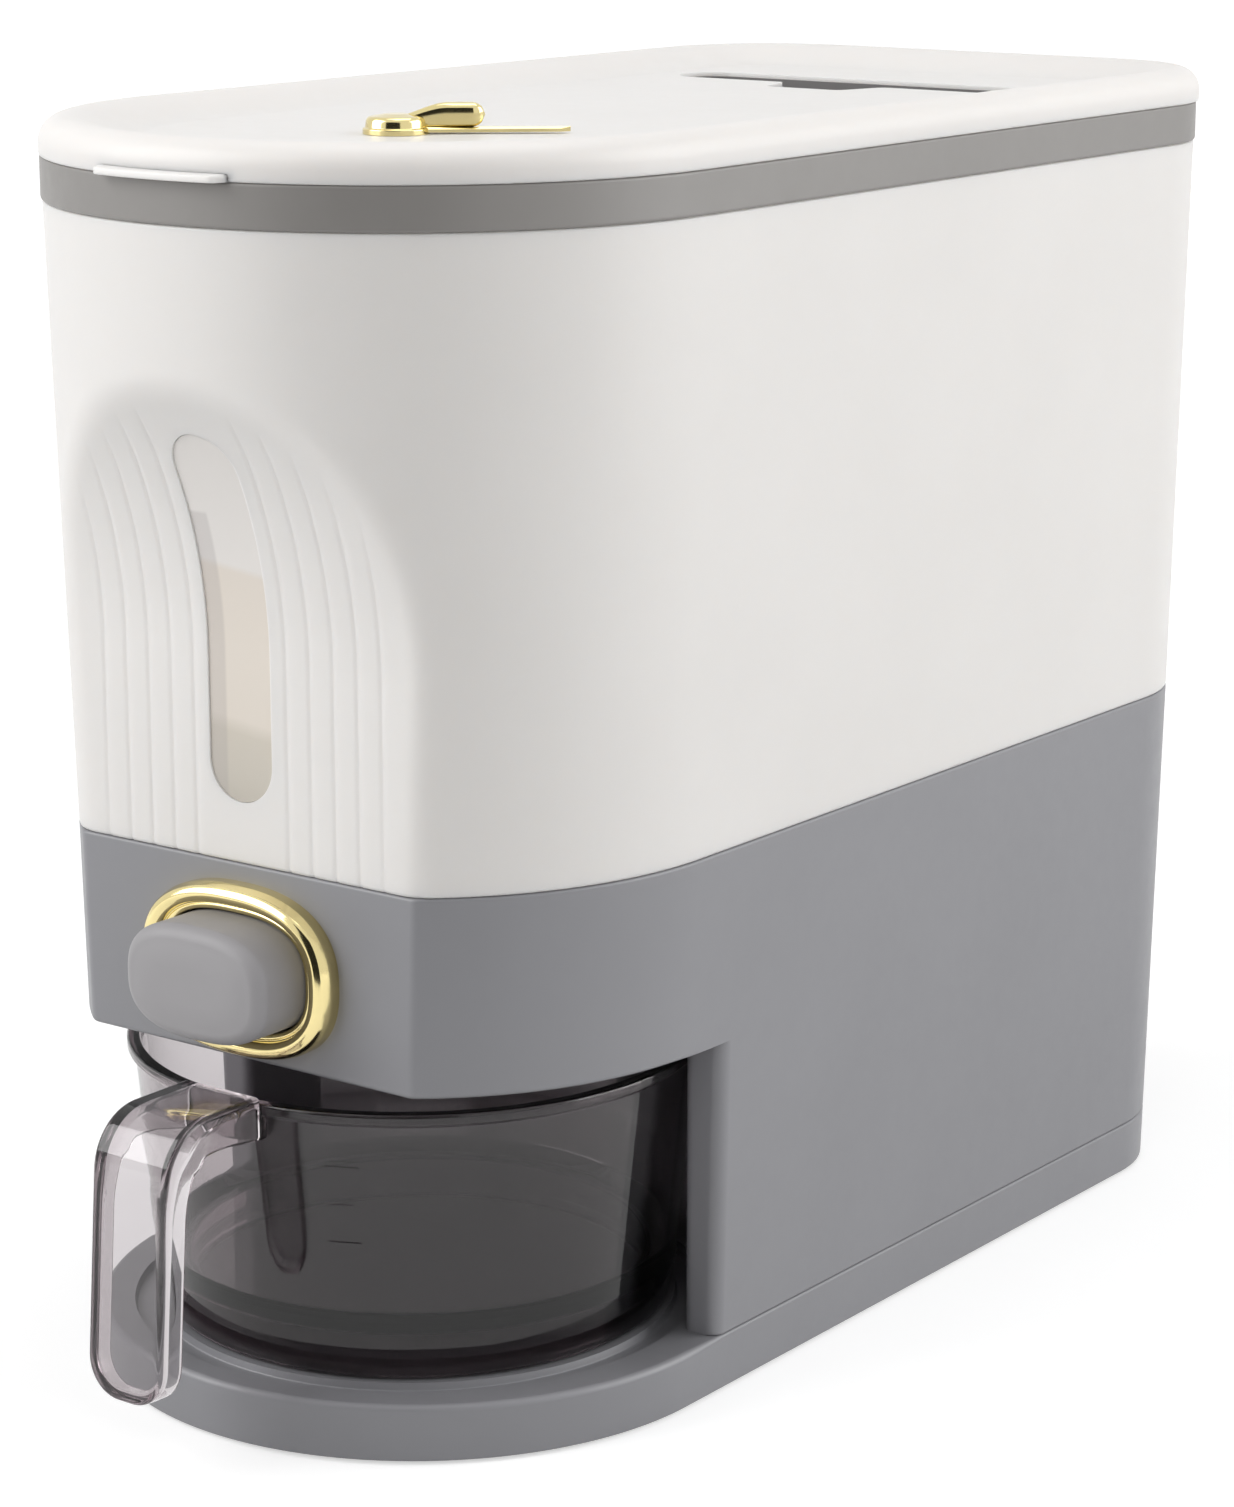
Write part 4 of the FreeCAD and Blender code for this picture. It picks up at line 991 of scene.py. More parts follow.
def turned(name: str, profile: list[Flat], centre: Flat, steps: int) -> bpy.types.Object:
    """Turn a half profile about an upright axis.

    Args:
        name: The piece's name.
        profile: Radius and height of each point, closed onto the axis or onto itself.
        centre: Where the axis stands.
        steps: Faces round the turn.

    Returns:
        The turned piece.
    """
    skin = Skin(name)
    rings = [skin.ring(raised(circle(centre, radius, steps), z)) for radius, z in profile]
    skin.stack(rings)
    if profile[0][0] > 0:
        skin.band(rings[-1], rings[0])
    return skin.build()


def pill_tool(name: str, half: float, tall: float, corner: float, z: float, front: float, back: float
              ) -> bpy.types.Object:
    """Make a rounded bar along y to cut with, with its middle at z, from its front to its back."""
    shape = pill(half, tall, corner, 28)
    return lofted(name, ([(x, y, z + up) for x, up in shape] for y in (front, back)))


# ---------------------------------------------------------------- the body's common form


@dataclass(frozen=True)
class Plan:
    """Plan outline: straight sides, a half-round front and two rounded back corners."""

    half: float
    back: float
    corner: float
    centre: float

    def inset(self, depth: float) -> "Plan":
        """Return the outline moved in by a depth."""
        return Plan(self.half - depth, self.back - depth, self.corner - depth, self.centre)

    def towards(self, other: "Plan", share: float) -> "Plan":
        """Return the outline part of the way to another one."""
        return Plan(*(one + (two - one) * share for one, two in zip(astuple(self), astuple(other))))

    def front(self, x: float) -> float:
        """Return y of the round front at an x."""
        return self.centre - math.sqrt(max(self.half ** 2 - x ** 2, 0.0))

    def arc(self, start: float, end: float, steps: int) -> list[Flat]:
        """Return points along the front, between two angles from straight ahead, both ends included."""
        return arc((0.0, self.centre), self.half, start - QUARTER, end - QUARTER, steps)

    def rear(self, start: float) -> list[Flat]:
        """Return points from the right side, round the back, to the left side.

        Args:
            start: The y at which they start and end.

        Returns:
            The points.
        """
        spread = self.half - self.corner
        deep = self.back - self.corner
        right = [(self.half, y) for y in between(start, deep, 14)[:-1]]
        right += arc((spread, deep), self.corner, 0.0, QUARTER, 24)
        return right + [(-x, y) for x, y in reversed(right)]

    def contour(self) -> list[Flat]:
        """Return the whole outline, from the left end of the front, counterclockwise."""
        return self.arc(-QUARTER, QUARTER, 144)[:-1] + self.rear(self.centre)[:-1]


@dataclass(frozen=True)
class BodyForm:
    """Sizes that the plate, housing, hopper, collar, lid and cup share."""

    foot: Plan = Plan(0.0966, 0.2089, 0.046, -0.0899)
    top: Plan = Plan(0.1021, 0.2141, 0.048, -0.0937)
    draft: float = 0.021
    stand: float = 0.001
    plate_top: float = 0.0179
    bay_top: float = 0.1085
    seam: float = 0.1659
    band_low: float = 0.3461
    lid_low: float = 0.3584
    lid_floor: float = 0.363
    facet_y: float = -0.1688
    arch_start: float = 0.225
    arch_radius: float = 0.130
    cheek_front: float = -0.0759
    cup_centre: Flat = (0.0, -0.0939)
    dial_centre: Flat = (0.0, -0.0979)
    button_z: float = 0.1358
    wall: float = 0.0035

    def plan(self, z: float) -> Plan:
        """Return the outer outline at a height.

        Args:
            z: The height.

        Returns:
            The outline.
        """
        low = self.foot.inset((self.stand - min(z, self.seam)) * self.draft)
        if z <= self.seam:
            return low
        return low.towards(self.top, (z - self.seam) / (self.band_low - self.seam))

    def facet(self, z: float) -> float:
        """Return y of the flat front, or of its arched top, at a height.

        Args:
            z: The height.

        Returns:
            The y.
        """
        over = z - self.arch_start
        if over <= 0:
            return self.facet_y
        return self.facet_y - self.arch_radius + math.sqrt(max(self.arch_radius ** 2 - over ** 2, 0.0))


FORM = BodyForm()


def level(plan: Plan, z: float) -> list[Spot]:
    """Return a plan's outline as points at a height."""
    return raised(plan.contour(), z)


def tiered(plan: Plan, z: float, edge: Iterable[Flat], way: int = 1) -> list[list[Spot]]:
    """Return a plan's outlines over an edge of inset and drop pairs, up from z or, with way -1, down."""
    return [level(plan.inset(inset), z + way * drop) for inset, drop in edge]


# ---------------------------------------------------------------- sub-assemblies


@dataclass
class Hopper:
    """White upper body: arched facet with fine flutes, window slot and open inside, and its clear window."""

    flute_first: float = 0.017
    flute_pitch: float = 0.0085
    flutes: int = 5
    flute_deep: float = 0.0004
    flute_wide: float = 0.0008
    flute_fade: float = 0.011
    flute_columns: tuple[float, ...] = (-3.8, -2.2, -1.2, -0.56, 0.0, 0.56, 1.2, 2.2, 3.8)
    middle_columns: tuple[float, ...] = (0.0, 0.004, 0.008, 0.0105, 0.013)
    side_columns: int = 18
    crease: float = 0.0035
    reach: float = 0.082
    edge: float = 0.0011
    slot_half: float = 0.0115
    slot_low: float = 0.1835
    slot_high: float = 0.289
    spare: float = 0.002
    lens_sink: float = 0.0006
    lens_gap: float = 0.0001
    lens_edge: float = 0.0004
    lens_flange: float = 0.003
    lens_back: float = 0.0016
    flange_gap: float = 0.00005
    rib_deep: float = 0.0088
    rib_thick: float = 0.0012
    rib_edge: float = 0.0003
    rib_low: float = 0.190
    rib_high: float = 0.267

    def columns(self) -> list[float]:
        """Return the x of each column over the front, close together at the flutes.

        Returns:
            The columns, from left to right.
        """
        right = list(self.middle_columns)
        for index in range(self.flutes):
            middle = self.flute_first + self.flute_pitch * index
            right += [middle + self.flute_wide * share for share in self.flute_columns]
            right.append(middle + self.flute_pitch / 2)
        right += between(right[-1], self.reach, self.side_columns, 1)
        return [-x for x in reversed(right[1:])] + right

    def groove(self, x: float) -> float:
        """Return how deep the flutes are at an x.

        Args:
            x: The x.

        Returns:
            The depth.
        """
        index = min(max(round((abs(x) - self.flute_first) / self.flute_pitch), 0), self.flutes - 1)
        off = (abs(x) - self.flute_first - self.flute_pitch * index) / self.flute_wide
        return self.flute_deep * math.exp(-off * off)

    def outline(self, z: float, depth: float, fluted: bool) -> list[Spot]:
        """Return the body's outline at a height, moved in by a depth.

        Args:
            z: The height.
            depth: How far inside the outer skin.
            fluted: Whether the flutes show.

        Returns:
            The points, counterclockwise from the left side.
        """
        plan = FORM.plan(z).inset(depth)
        columns = [x * plan.half / FORM.plan(z).half for x in self.columns()]
        edge = math.asin(columns[-1] / plan.half)
        middle = []
        for x in columns:
            round_y, flat_y = plan.front(x), FORM.facet(z) + depth
            if fluted:
                flat_y += self.groove(x) * easing((flat_y - round_y) / self.flute_fade)
            share = max(self.crease - abs(round_y - flat_y), 0.0) / self.crease
            middle.append((x, max(round_y, flat_y) + share * share * self.crease / 4))
        path = plan.arc(-QUARTER, -edge, 18)[:-1] + middle + plan.arc(edge, QUARTER, 18)[1:]
        return raised(path + plan.rear(plan.centre)[1:-1], z)

    def slot_solid(self, name: str, grow: float, front: float, back: float) -> bpy.types.Object:
        """Make a solid of the window slot, to cut or trim with.

        Args:
            name: The solid's name.
            grow: How much wider and taller than the slot it is, on each side.
            front: How far from the facet it starts.
            back: How far from the facet it ends.

        Returns:
            The solid.
        """
        half, tall = self.slot_half + grow, (self.slot_high - self.slot_low) / 2 + grow
        return pill_tool(name, half, tall, half, (self.slot_low + self.slot_high) / 2, FORM.facet_y + front,
                         FORM.facet_y + back)

    def shell(self) -> bpy.types.Object:
        """Make the thick shell with the slot of the window.

        Returns:
            The shell.
        """
        low, high = FORM.seam, FORM.band_low
        rounding = seam_edge(self.edge)
        levels = [(low + drop, inset) for inset, drop in rounding]
        levels += [(z, 0.0) for z in between(low + self.edge, high - self.edge, 116, 1)[:-1]]
        levels += [(high - drop, inset) for inset, drop in reversed(rounding)]
        outer = [self.outline(z, inset, True) for z, inset in levels]
        inner = [self.outline(z, FORM.wall, False) for z in between(high, low, 40)]
        piece = lofted("hopper_body", outer + inner, looped=True)
        carve(piece, self.slot_solid("slot_tool", 0.0, -0.04, 0.02))
        return piece

    def pane(self) -> bpy.types.Object:
        """Make the bent pane with round ends that fills the slot and follows the facet.

        Returns:
            The pane.
        """
        grow = -self.lens_gap
        wide, near, far = self.slot_half + grow + self.spare * 2, self.lens_sink, FORM.wall + self.lens_back
        layers = []
        for z in between(self.slot_low - grow - self.spare, self.slot_high + grow + self.spare, 70):
            face = FORM.facet(z)
            layers.append([(-wide, face + near, z), (wide, face + near, z), (wide, face + far, z),
                           (-wide, face + far, z)])
        piece = lofted("window_pane", layers)
        carve(piece, self.slot_solid("pane_tool", grow, -0.05, 0.03), "INTERSECT")
        return bevelled(piece, self.lens_edge, 2)

    def flange(self) -> bpy.types.Object:
        """Make the lens's flange behind the slot, as a bent ring.

        Returns:
            The flange.
        """
        tall = (self.slot_high - self.slot_low) / 2
        middle = (self.slot_low + self.slot_high) / 2
        near, far = FORM.wall + self.flange_gap, FORM.wall + self.lens_back
        layers = []
        for grow, depth in ((self.lens_flange, near), (self.lens_flange, far), (self.flange_gap, far),
                            (self.flange_gap, near)):
            layers.append([(x, FORM.facet(middle + up) + depth, middle + up)
                           for x, up in slot_outline(self.slot_half + grow, tall + grow, 20, 30)])
        return lofted("lens_flange", layers, looped=True)

    def build(self, dresser: Dresser) -> None:
        """Make and dress the shell and the window.

        Args:
            dresser: It puts the finishes on.
        """
        dresser.dress(self.shell(), Slot.WHITE, Body.FRAME, "hopper_shell")
        pane = self.pane()
        ribs = []
        for side, tag in SIDES:
            one, two = sorted((side * self.slot_half, side * (self.slot_half + self.rib_thick)))
            start = FORM.facet_y + FORM.wall + self.lens_back + self.lens_gap
            ribs.append(block("rib_" + tag, (one, start, self.rib_low),
                              (two, FORM.facet_y + FORM.wall + self.rib_deep, self.rib_high), self.rib_edge))
        dresser.dress(merge(pane, self.flange(), *ribs), Slot.WINDOW, Body.FRAME, "window_lens")


@dataclass
class Funnel:
    """Cream funnel inside the hopper, with a raised rim that follows the hopper's wall."""

    gap: float = 0.0003
    thick: float = 0.0014
    low: float = 0.196
    high: float = 0.226
    flare: float = 0.011
    fall_start: float = -0.070
    fall_reach: float = 0.055
    fall: float = 0.40
    front: float = -0.150

    def top(self, y: float) -> float:
        """Return the rim's height at a y: level round the front, falling to the back."""
        return self.high - self.fall * min(max(y - self.fall_start, 0.0), self.fall_reach)

    def build(self, dresser: Dresser) -> None:
        """Make and dress the funnel; below its rim it keeps its shape.

        Args:
            dresser: It puts the finishes on.
        """
        outer = FORM.plan(self.low).inset(FORM.wall + self.gap)
        inner = outer.inset(self.thick)
        places = [(out, into) for out, into in zip(outer.contour(), inner.contour()) if out[1] > self.front]
        start = next(index for index, (out, _) in enumerate(places) if out[0] > 0)
        layers = []
        for (x, y), (in_x, in_y) in places[start:] + places[:start]:
            top = self.top(y)
            side = math.copysign((top - self.low) * self.flare, x)
            layers.append([(x, y, self.low), (x + side, y, top), (in_x + side, in_y, top),
                           (in_x, in_y, self.low)])
        dresser.dress(lofted("funnel_rim", layers), Slot.CREAM, Body.FRAME)
        dresser.restyle(Slot.CREAM, "hopper_funnel")


@dataclass
class Housing:
    """Grey lower housing: overhang with a flat front, bay for the cup and two cheeks."""

    bay_radius: float = 0.087
    cheek_round: float = 0.004
    corner_round: float = 0.0045
    least_round: float = 0.001
    lip_round: float = 0.0014
    lip_fade: int = 9
    edge: float = 0.0011
    floor: float = 0.003
    hole_half: float = 0.0259
    hole_tall: float = 0.0169
    hole_corner: float = 0.0139
    hole_reach: float = 0.02
    outlet_low: Flat = (-0.02065, -0.11255)
    outlet_high: Flat = (0.02065, -0.09525)
    outlet_below: float = 0.005
    outlet_above: float = 0.01

    def hood_front(self, plan: Plan, depth: float) -> list[Flat]:
        """Return the overhang's front from the left cheek line to the right, without its ends.

        Args:
            plan: The outline at this height.
            depth: How far the outline has been moved in.

        Returns:
            The points from left to right.
        """
        face = FORM.facet_y + depth
        radius = max(self.corner_round - depth, self.least_round)
        middle_y = face + radius
        middle_x = math.sqrt((plan.half - radius) ** 2 - (middle_y - plan.centre) ** 2)
        meet = math.atan2(middle_x, plan.centre - middle_y)
        right = [(x, face) for x in between(0.0, middle_x, 26)]
        right += arc((middle_x, middle_y), radius, -QUARTER, meet - QUARTER, 10)[1:]
        right += plan.arc(meet, QUARTER, 44)[1:]
        side_end = FORM.cheek_front + self.cheek_round
        right += [(plan.half, y) for y in between(plan.centre, side_end, 4, 1)[:-1]]
        return both_sides(right)

    def bay_wall(self, plan: Plan) -> list[Flat]:
        """Return the cheeks and the round back of the bay, without the ends.

        Args:
            plan: The outline at this height.

        Returns:
            The points from left to right.
        """
        radius = self.cheek_round
        level_y, cup_y = FORM.cheek_front + radius, FORM.cup_centre[1]
        middle_x = math.sqrt((self.bay_radius + radius) ** 2 - (level_y - cup_y) ** 2)
        meet = math.atan2(middle_x, level_y - cup_y)
        flat_end = plan.half - radius
        right = arc(FORM.cup_centre, self.bay_radius, QUARTER, QUARTER - meet, 56)
        right += arc((middle_x, level_y), radius, -QUARTER - meet, -QUARTER, 8)[1:]
        right += [(x, FORM.cheek_front) for x in between(middle_x, flat_end, 4, 1)[:-1]]
        right += arc((flat_end, level_y), radius, -QUARTER, 0.0, 8)[:-1]
        return both_sides(right)

    def shell(self) -> bpy.types.Object:
        """Make the housing with its open inside, the button's hole and the outlet.

        Returns:
            The housing.
        """
        skin = Skin("housing_body")
        rounding = seam_edge(self.edge)
        low, top, high = FORM.plate_top, FORM.bay_top, FORM.seam

        def rear(z: float, depth: float) -> list[int]:
            """Add the outline behind the cheeks at a height."""
            return skin.ring(raised(FORM.plan(z).inset(depth).rear(FORM.cheek_front + self.cheek_round), z))

        def hood(z: float, depth: float) -> list[int]:
            """Add the whole outline over the bay at a height."""
            return skin.ring(raised(self.hood_front(FORM.plan(z).inset(depth), depth), z)) + rear(z, depth)

        lower, back = [], []
        levels = [(low + drop, inset) for inset, drop in rounding]
        levels += [(z, 0.0) for z in between(low + self.edge, top, 14, 1)]
        for z, depth in levels:
            bay = skin.ring(raised(self.bay_wall(FORM.plan(z).inset(depth)), z))
            back = rear(z, depth)
            lower.append(bay + back)
        skin.stack(lower)
        skin.cap(lower[0])
        corners = back[-1], back[0]
        upper = []
        for number, (inset, drop) in enumerate(quarter_round(self.lip_round, 4)):
            z = top + drop
            moved = self.hood_front(FORM.plan(z).inset(inset), inset)
            still = self.hood_front(FORM.plan(z), 0.0)
            front = []
            for index, (one, two) in enumerate(zip(still, moved)):
                share = easing(min(index, len(still) - 1 - index) / self.lip_fade)
                front.append((one[0] + (two[0] - one[0]) * share, one[1] + (two[1] - one[1]) * share, z))
            if number:
                back = rear(z, 0.0)
            upper.append(skin.ring(front) + back)
        levels = [(z, 0.0) for z in between(top + self.lip_round, high - self.edge, 10, 1)[:-1]]
        levels += [(high - drop, inset) for inset, drop in reversed(rounding)]
        upper += [hood(z, depth) for z, depth in levels]
        inside = [hood(z, FORM.wall) for z in between(high, top + self.floor, 4)]
        skin.stack(upper + inside)
        fronts, bays = len(upper[0]) - len(back), len(lower[-1]) - len(back)
        ceiling = [corners[0]] + upper[0][:fronts] + [corners[1]] + list(reversed(lower[-1][:bays]))
        skin.cap(inside[-1], ceiling)
        piece = skin.build()
        carve(piece, pill_tool("hole_tool", self.hole_half, self.hole_tall, self.hole_corner, FORM.button_z,
                               FORM.facet_y - self.hole_reach, FORM.facet_y + self.hole_reach))
        carve(piece, block("outlet_tool", (*self.outlet_low, top - self.outlet_below),
                           (*self.outlet_high, top + self.outlet_above)))
        return piece

    def build(self, dresser: Dresser) -> None:
        """Make and dress the housing."""
        dresser.dress(self.shell(), Slot.GREY, Body.FRAME, "lower_housing")


@dataclass
class BasePlate:
    """Grey base plate with a softly rounded front rim and a groove round the cup's stand."""

    front_round: float = 0.0020
    rear_round: float = 0.0009
    foot_round: float = 0.0008
    round_gap: float = 0.002
    round_fade: float = 0.010
    groove_in: float = 0.0770
    groove_out: float = 0.0845
    groove_deep: float = 0.0022
    groove_round: float = 0.0006
    groove_clear: float = 0.004
    ledge: float = 0.003
    hollow: float = 0.0065
    cover_top: float = 0.004
    skin_thick: float = 0.0042

    def rim(self, turn: float) -> list[Spot]:
        """Return one ring of the rounded upper edge.

        Args:
            turn: 0 at the side, a quarter turn at the top face.

        Returns:
            The ring's points.
        """
        plan = FORM.plan(FORM.plate_top)
        deep, spread = plan.back - plan.corner, plan.half - plan.corner
        spots = []
        for x, y in plan.contour():
            share = easing((FORM.cheek_front - self.round_gap - y) / self.round_fade)
            radius = self.rear_round + (self.front_round - self.rear_round) * share
            inset = radius * (1 - math.cos(turn))
            middle = (0.0, min(max(y, plan.centre), deep))
            if y > deep:
                middle = (math.copysign(spread, x) if abs(x) > spread else x, deep)
            way = Vector((x - middle[0], y - middle[1])).normalized()
            z = FORM.plate_top - radius * (1 - math.sin(turn))
            spots.append((x - way.x * inset, y - way.y * inset, z))
        return spots

    def groove(self) -> bpy.types.Object:
        """Make the solid of the round groove.

        Returns:
            The solid.
        """
        top, deep, soft = FORM.plate_top, FORM.plate_top - self.groove_deep, self.groove_round
        clear = top + self.groove_clear
        path = rounded([(self.groove_in, clear, 0), (self.groove_in, top, soft),
                        (self.groove_in + soft, deep, soft), (self.groove_out - soft, deep, soft),
                        (self.groove_out, top, soft), (self.groove_out, clear, 0)], 4)
        return turned("groove_tool", path, FORM.cup_centre, 144)

    def build(self, dresser: Dresser) -> None:
        """Make and dress the plate, the bottom cover and the feet.

        Args:
            dresser: It puts the finishes on.
        """
        skin = Skin("base_body")
        low, top = FORM.stand, FORM.plate_top
        layers = tiered(FORM.plan(low), low, quarter_round(self.foot_round, 3))
        for index in range(1, 4):
            z = low + (top - self.front_round - low) * index / 3.4
            layers.append(level(FORM.plan(z), z))
        layers += [self.rim(turn) for turn in between(0.0, QUARTER, 8)]
        cover, room = FORM.foot.inset(self.ledge), FORM.foot.inset(self.hollow)
        under = (level(cover, low), level(cover, self.cover_top), level(room, self.cover_top),
                 level(room, top - self.skin_thick))
        outer, inner = [skin.ring(layer) for layer in layers], [skin.ring(layer) for layer in under]
        skin.stack(outer)
        skin.cap(outer[-1])
        skin.stack([outer[0]] + inner)
        skin.cap(inner[-1])
        piece = skin.build()
        carve(piece, self.groove())
        dresser.dress(piece, Slot.GREY, Body.FRAME, "base_plate")
        dresser.restyle(Slot.DARK, "bottom_cover")
        dresser.restyle(Slot.RUBBER, "foot_front_left", "foot_front_right", "foot_back_left",
                        "foot_back_right")


@dataclass
class Collar:
    """Grey band between the body and the lid, with the ears of the two hinges."""

    proud: float = 0.0005
    thick: float = 0.0052
    edge: float = 0.0010
    pivot_y: float = 0.2187
    pivot_z: float = 0.3526
    knuckle_radius: float = 0.0042
    knuckle_half: float = 0.0047
    bar_edge: float = 0.0005
    hinge_x: float = 0.042
    ear_gap: float = 0.0003
    ear_thick: float = 0.004
    ear_sink: float = 0.002
    ear_edge: float = 0.0004
    pin_radius: float = 0.0015
    pin_gap: float = 0.0001

    def bar(self, name: str, start: float, long: float) -> bpy.types.Object:
        """Make a round bar along x about the pivot, with a hole for the pin.

        Args:
            name: The piece's name.
            start: Where it starts.
            long: Its length.

        Returns:
            The bar.
        """
        hole, radius = self.pin_radius + self.pin_gap, self.knuckle_radius
        soft, end = self.bar_edge, start + long
        steps = ((hole, start), (radius - soft, start), (radius, start + soft), (radius, end - soft),
                 (radius - soft, end), (hole, end))
        pivot = (self.pivot_y, self.pivot_z)
        layers = [[(x, y, z) for y, z in circle(pivot, out, 40)] for out, x in steps]
        return lofted(name, layers, looped=True)

    def ears(self) -> list[bpy.types.Object]:
        """Make the ears that hold the two pins.

        Returns:
            The solids.
        """
        out = []
        for side, where in SIDES:
            middle = side * self.hinge_x
            for tag, x in (("a", middle - self.knuckle_half - self.ear_gap - self.ear_thick),
                           ("b", middle + self.knuckle_half + self.ear_gap)):
                name = "ear_%s_%s" % (where, tag)
                out.append(self.bar(name, x, self.ear_thick))
                out.append(block(
                    name + "_root", (x, FORM.top.back - self.ear_sink, self.pivot_z - self.knuckle_radius),
                    (x + self.ear_thick, self.pivot_y - self.pin_radius - self.ear_edge,
                     self.pivot_z + self.knuckle_radius), self.ear_edge))
        return out

    def build(self, dresser: Dresser) -> None:
        """Make and dress the band; the pins stay as they are.

        Args:
            dresser: It puts the finishes on.
        """
        low, high = FORM.band_low, FORM.lid_low
        outer = replace(FORM.top, half=FORM.top.half + self.proud)
        inner = outer.inset(self.thick)
        edge = seam_edge(self.edge)
        layers = tiered(outer, low, edge) + tiered(outer, high, reversed(edge), -1)
        band = lofted("collar_ring", layers + [level(inner, high), level(inner, low)], looped=True)
        dresser.dress(merge(band, *self.ears()), Slot.GREY, Body.FRAME, "collar_band", finish=COLLAR_FINISH)
        dresser.restyle(Slot.PIN, "hinge_pin_left", "hinge_pin_right")


@dataclass
class Lid:
    """White lid: rounded rim, shallow dish, lift tab, plug ring, recess and hinge knuckles."""

    plan: Plan = Plan(0.1028, 0.2155, 0.048, -0.0937)
    plug: Plan = Plan(0.0966, 0.2056, 0.042, -0.0937)
    high: float = 0.369
    skin_thick: float = 0.003
    rim_round: float = 0.007
    edge: float = 0.0006
    dish_margin: float = 0.0070
    dish_inset: float = 0.0300
    plug_wall: float = 0.0026
    plug_low: float = 0.350
    tab_half: float = 0.025
    tab_out: float = 0.0042
    tab_thick: float = 0.002
    tab_root: float = 0.0016
    tab_start: float = 0.0012
    tab_round: float = 0.0007
    tab_ends: float = 5.5
    well_half: float = 0.067
    well_front: float = 0.1231
    well_back: float = 0.1471
    well_reach: float = 0.008
    notch_half: float = 0.015
    notch_front: float = 0.1051
    notch_round: float = 0.004
    notch_lean: float = 0.001
    spindle: float = 0.002
    bore_low: float = 0.01
    bore_high: float = 0.004
    knuckle_clear: float = 0.0005
    arm_low: float = 0.0018
    arm_high: float = 0.0032

    def shell(self) -> bpy.types.Object:
        """Make the lid's body without the tab and knuckles.

        Returns:
            The body.
        """
        skin = Skin("lid_body")
        low, floor, edge = FORM.lid_low, FORM.lid_floor, quarter_round(self.edge, 3)
        layers = tiered(self.plan, low, edge)
        layers += tiered(self.plan, self.high, reversed(quarter_round(self.rim_round, 12)), -1)
        for share in shares(14):
            inset = self.dish_margin + (self.dish_inset - self.dish_margin) * share
            layers.append(level(self.plan.inset(inset), self.high + (floor - self.high) * easing(share)))
        inner = self.plug.inset(self.plug_wall)
        under = [level(self.plug, low)] + tiered(self.plug, self.plug_low, reversed(edge))
        under += [level(inner, self.plug_low), level(inner, floor - self.skin_thick)]
        above, below = [skin.ring(layer) for layer in layers], [skin.ring(layer) for layer in under]
        skin.cap(above[-1])
        skin.stack([above[0]] + below)
        skin.cap(below[-1])
        skin.stack(above)
        piece = skin.build()
        carve(piece, self.well_tool())
        start, end = floor - self.bore_low, floor + self.bore_high
        bore = [(0.0, start), (self.spindle, start), (self.spindle, end), (0.0, end)]
        carve(piece, turned("bore_tool", bore, FORM.dial_centre, 32))
        return piece

    def well_outline(self, inset: float) -> list[Flat]:
        """Return the recess's outline, moved in.

        Args:
            inset: How far it is moved in.

        Returns:
            Its points, clockwise from the middle of its back.
        """
        radius = (self.well_back - self.well_front) / 2 - inset
        middle = (self.well_half - radius - inset, (self.well_back + self.well_front) / 2)
        near, notch_y, notch_x = self.well_front + inset, self.notch_front + inset, self.notch_half - inset
        right = [(0.0, middle[1] + radius)] + arc(middle, radius, QUARTER, -QUARTER, 24)
        right += rounded([(middle[0], near, 0), (notch_x + self.notch_round, near, self.notch_round),
                          (notch_x - self.notch_lean, notch_y, self.notch_round), (0.0, notch_y, 0)])[1:]
        return right + [(-x, y) for x, y in reversed(right[1:-1])]

    def well_tool(self) -> bpy.types.Object:
        """Make the solid of the recess with its round ends and finger notch."""
        shape, reach = self.well_outline(0.0), self.well_reach
        return lofted("well_tool", [raised(shape, FORM.lid_floor + z) for z in (-reach, reach)])

    def tab(self) -> bpy.types.Object:
        """Make the lift tab: a thin crescent that runs out to nothing at its ends.

        Returns:
            The tab.
        """
        low, high, root = FORM.lid_low, FORM.lid_low + self.tab_thick, self.plan.half - self.tab_root
        reach = math.asin(self.tab_half / (self.plan.half + self.tab_out))
        layers = []
        for turn in between(-reach, reach, 40):
            share = easing((1 - abs(turn) / reach) * self.tab_ends)
            out = self.plan.half - self.tab_start + (self.tab_out + self.tab_start) * share
            soft = min(self.tab_round, (out - root) * 0.45)
            section = ((root, low), (out - soft * 0.4, low), (out, low + soft * 0.5), (out, high - soft),
                       (out - soft * 0.3, high - soft * 0.3), (out - soft, high),
                       (root + 0.0006, high + 0.0002), (root, high + 0.0012))
            layers.append([(r * math.sin(turn), self.plan.centre - r * math.cos(turn), z)
                           for r, z in section])
        return lofted("lift_tab", layers)

    def knuckles(self, collar: Collar) -> list[bpy.types.Object]:
        """Make the two hinge knuckles with their arms.

        Args:
            collar: The band that carries the pins.

        Returns:
            The solids.
        """
        out = []
        for side, where in SIDES:
            start, long = side * collar.hinge_x - collar.knuckle_half, collar.knuckle_half * 2
            low = (start, FORM.top.back + self.knuckle_clear, collar.pivot_z + self.arm_low)
            high = (start + long, collar.pivot_y + collar.knuckle_radius, FORM.lid_low + self.arm_high)
            out.append(collar.bar("knuckle_" + where, start, long))
            out.append(block("knuckle_%s_arm" % where, low, high, self.edge))
        return out

    def build(self, dresser: Dresser) -> None:
        """Make and dress the lid; the seal and spindle keep their shape.

        Args:
            dresser: It puts the finishes on.
        """
        lid = merge(self.shell(), self.tab(), *self.knuckles(Collar()))
        dresser.dress(lid, Slot.WHITE, Body.LID, "lid_shell")
        dresser.restyle(Slot.SEAL, "lid_gasket")
        dresser.restyle(Slot.PIN, "dial_spindle")


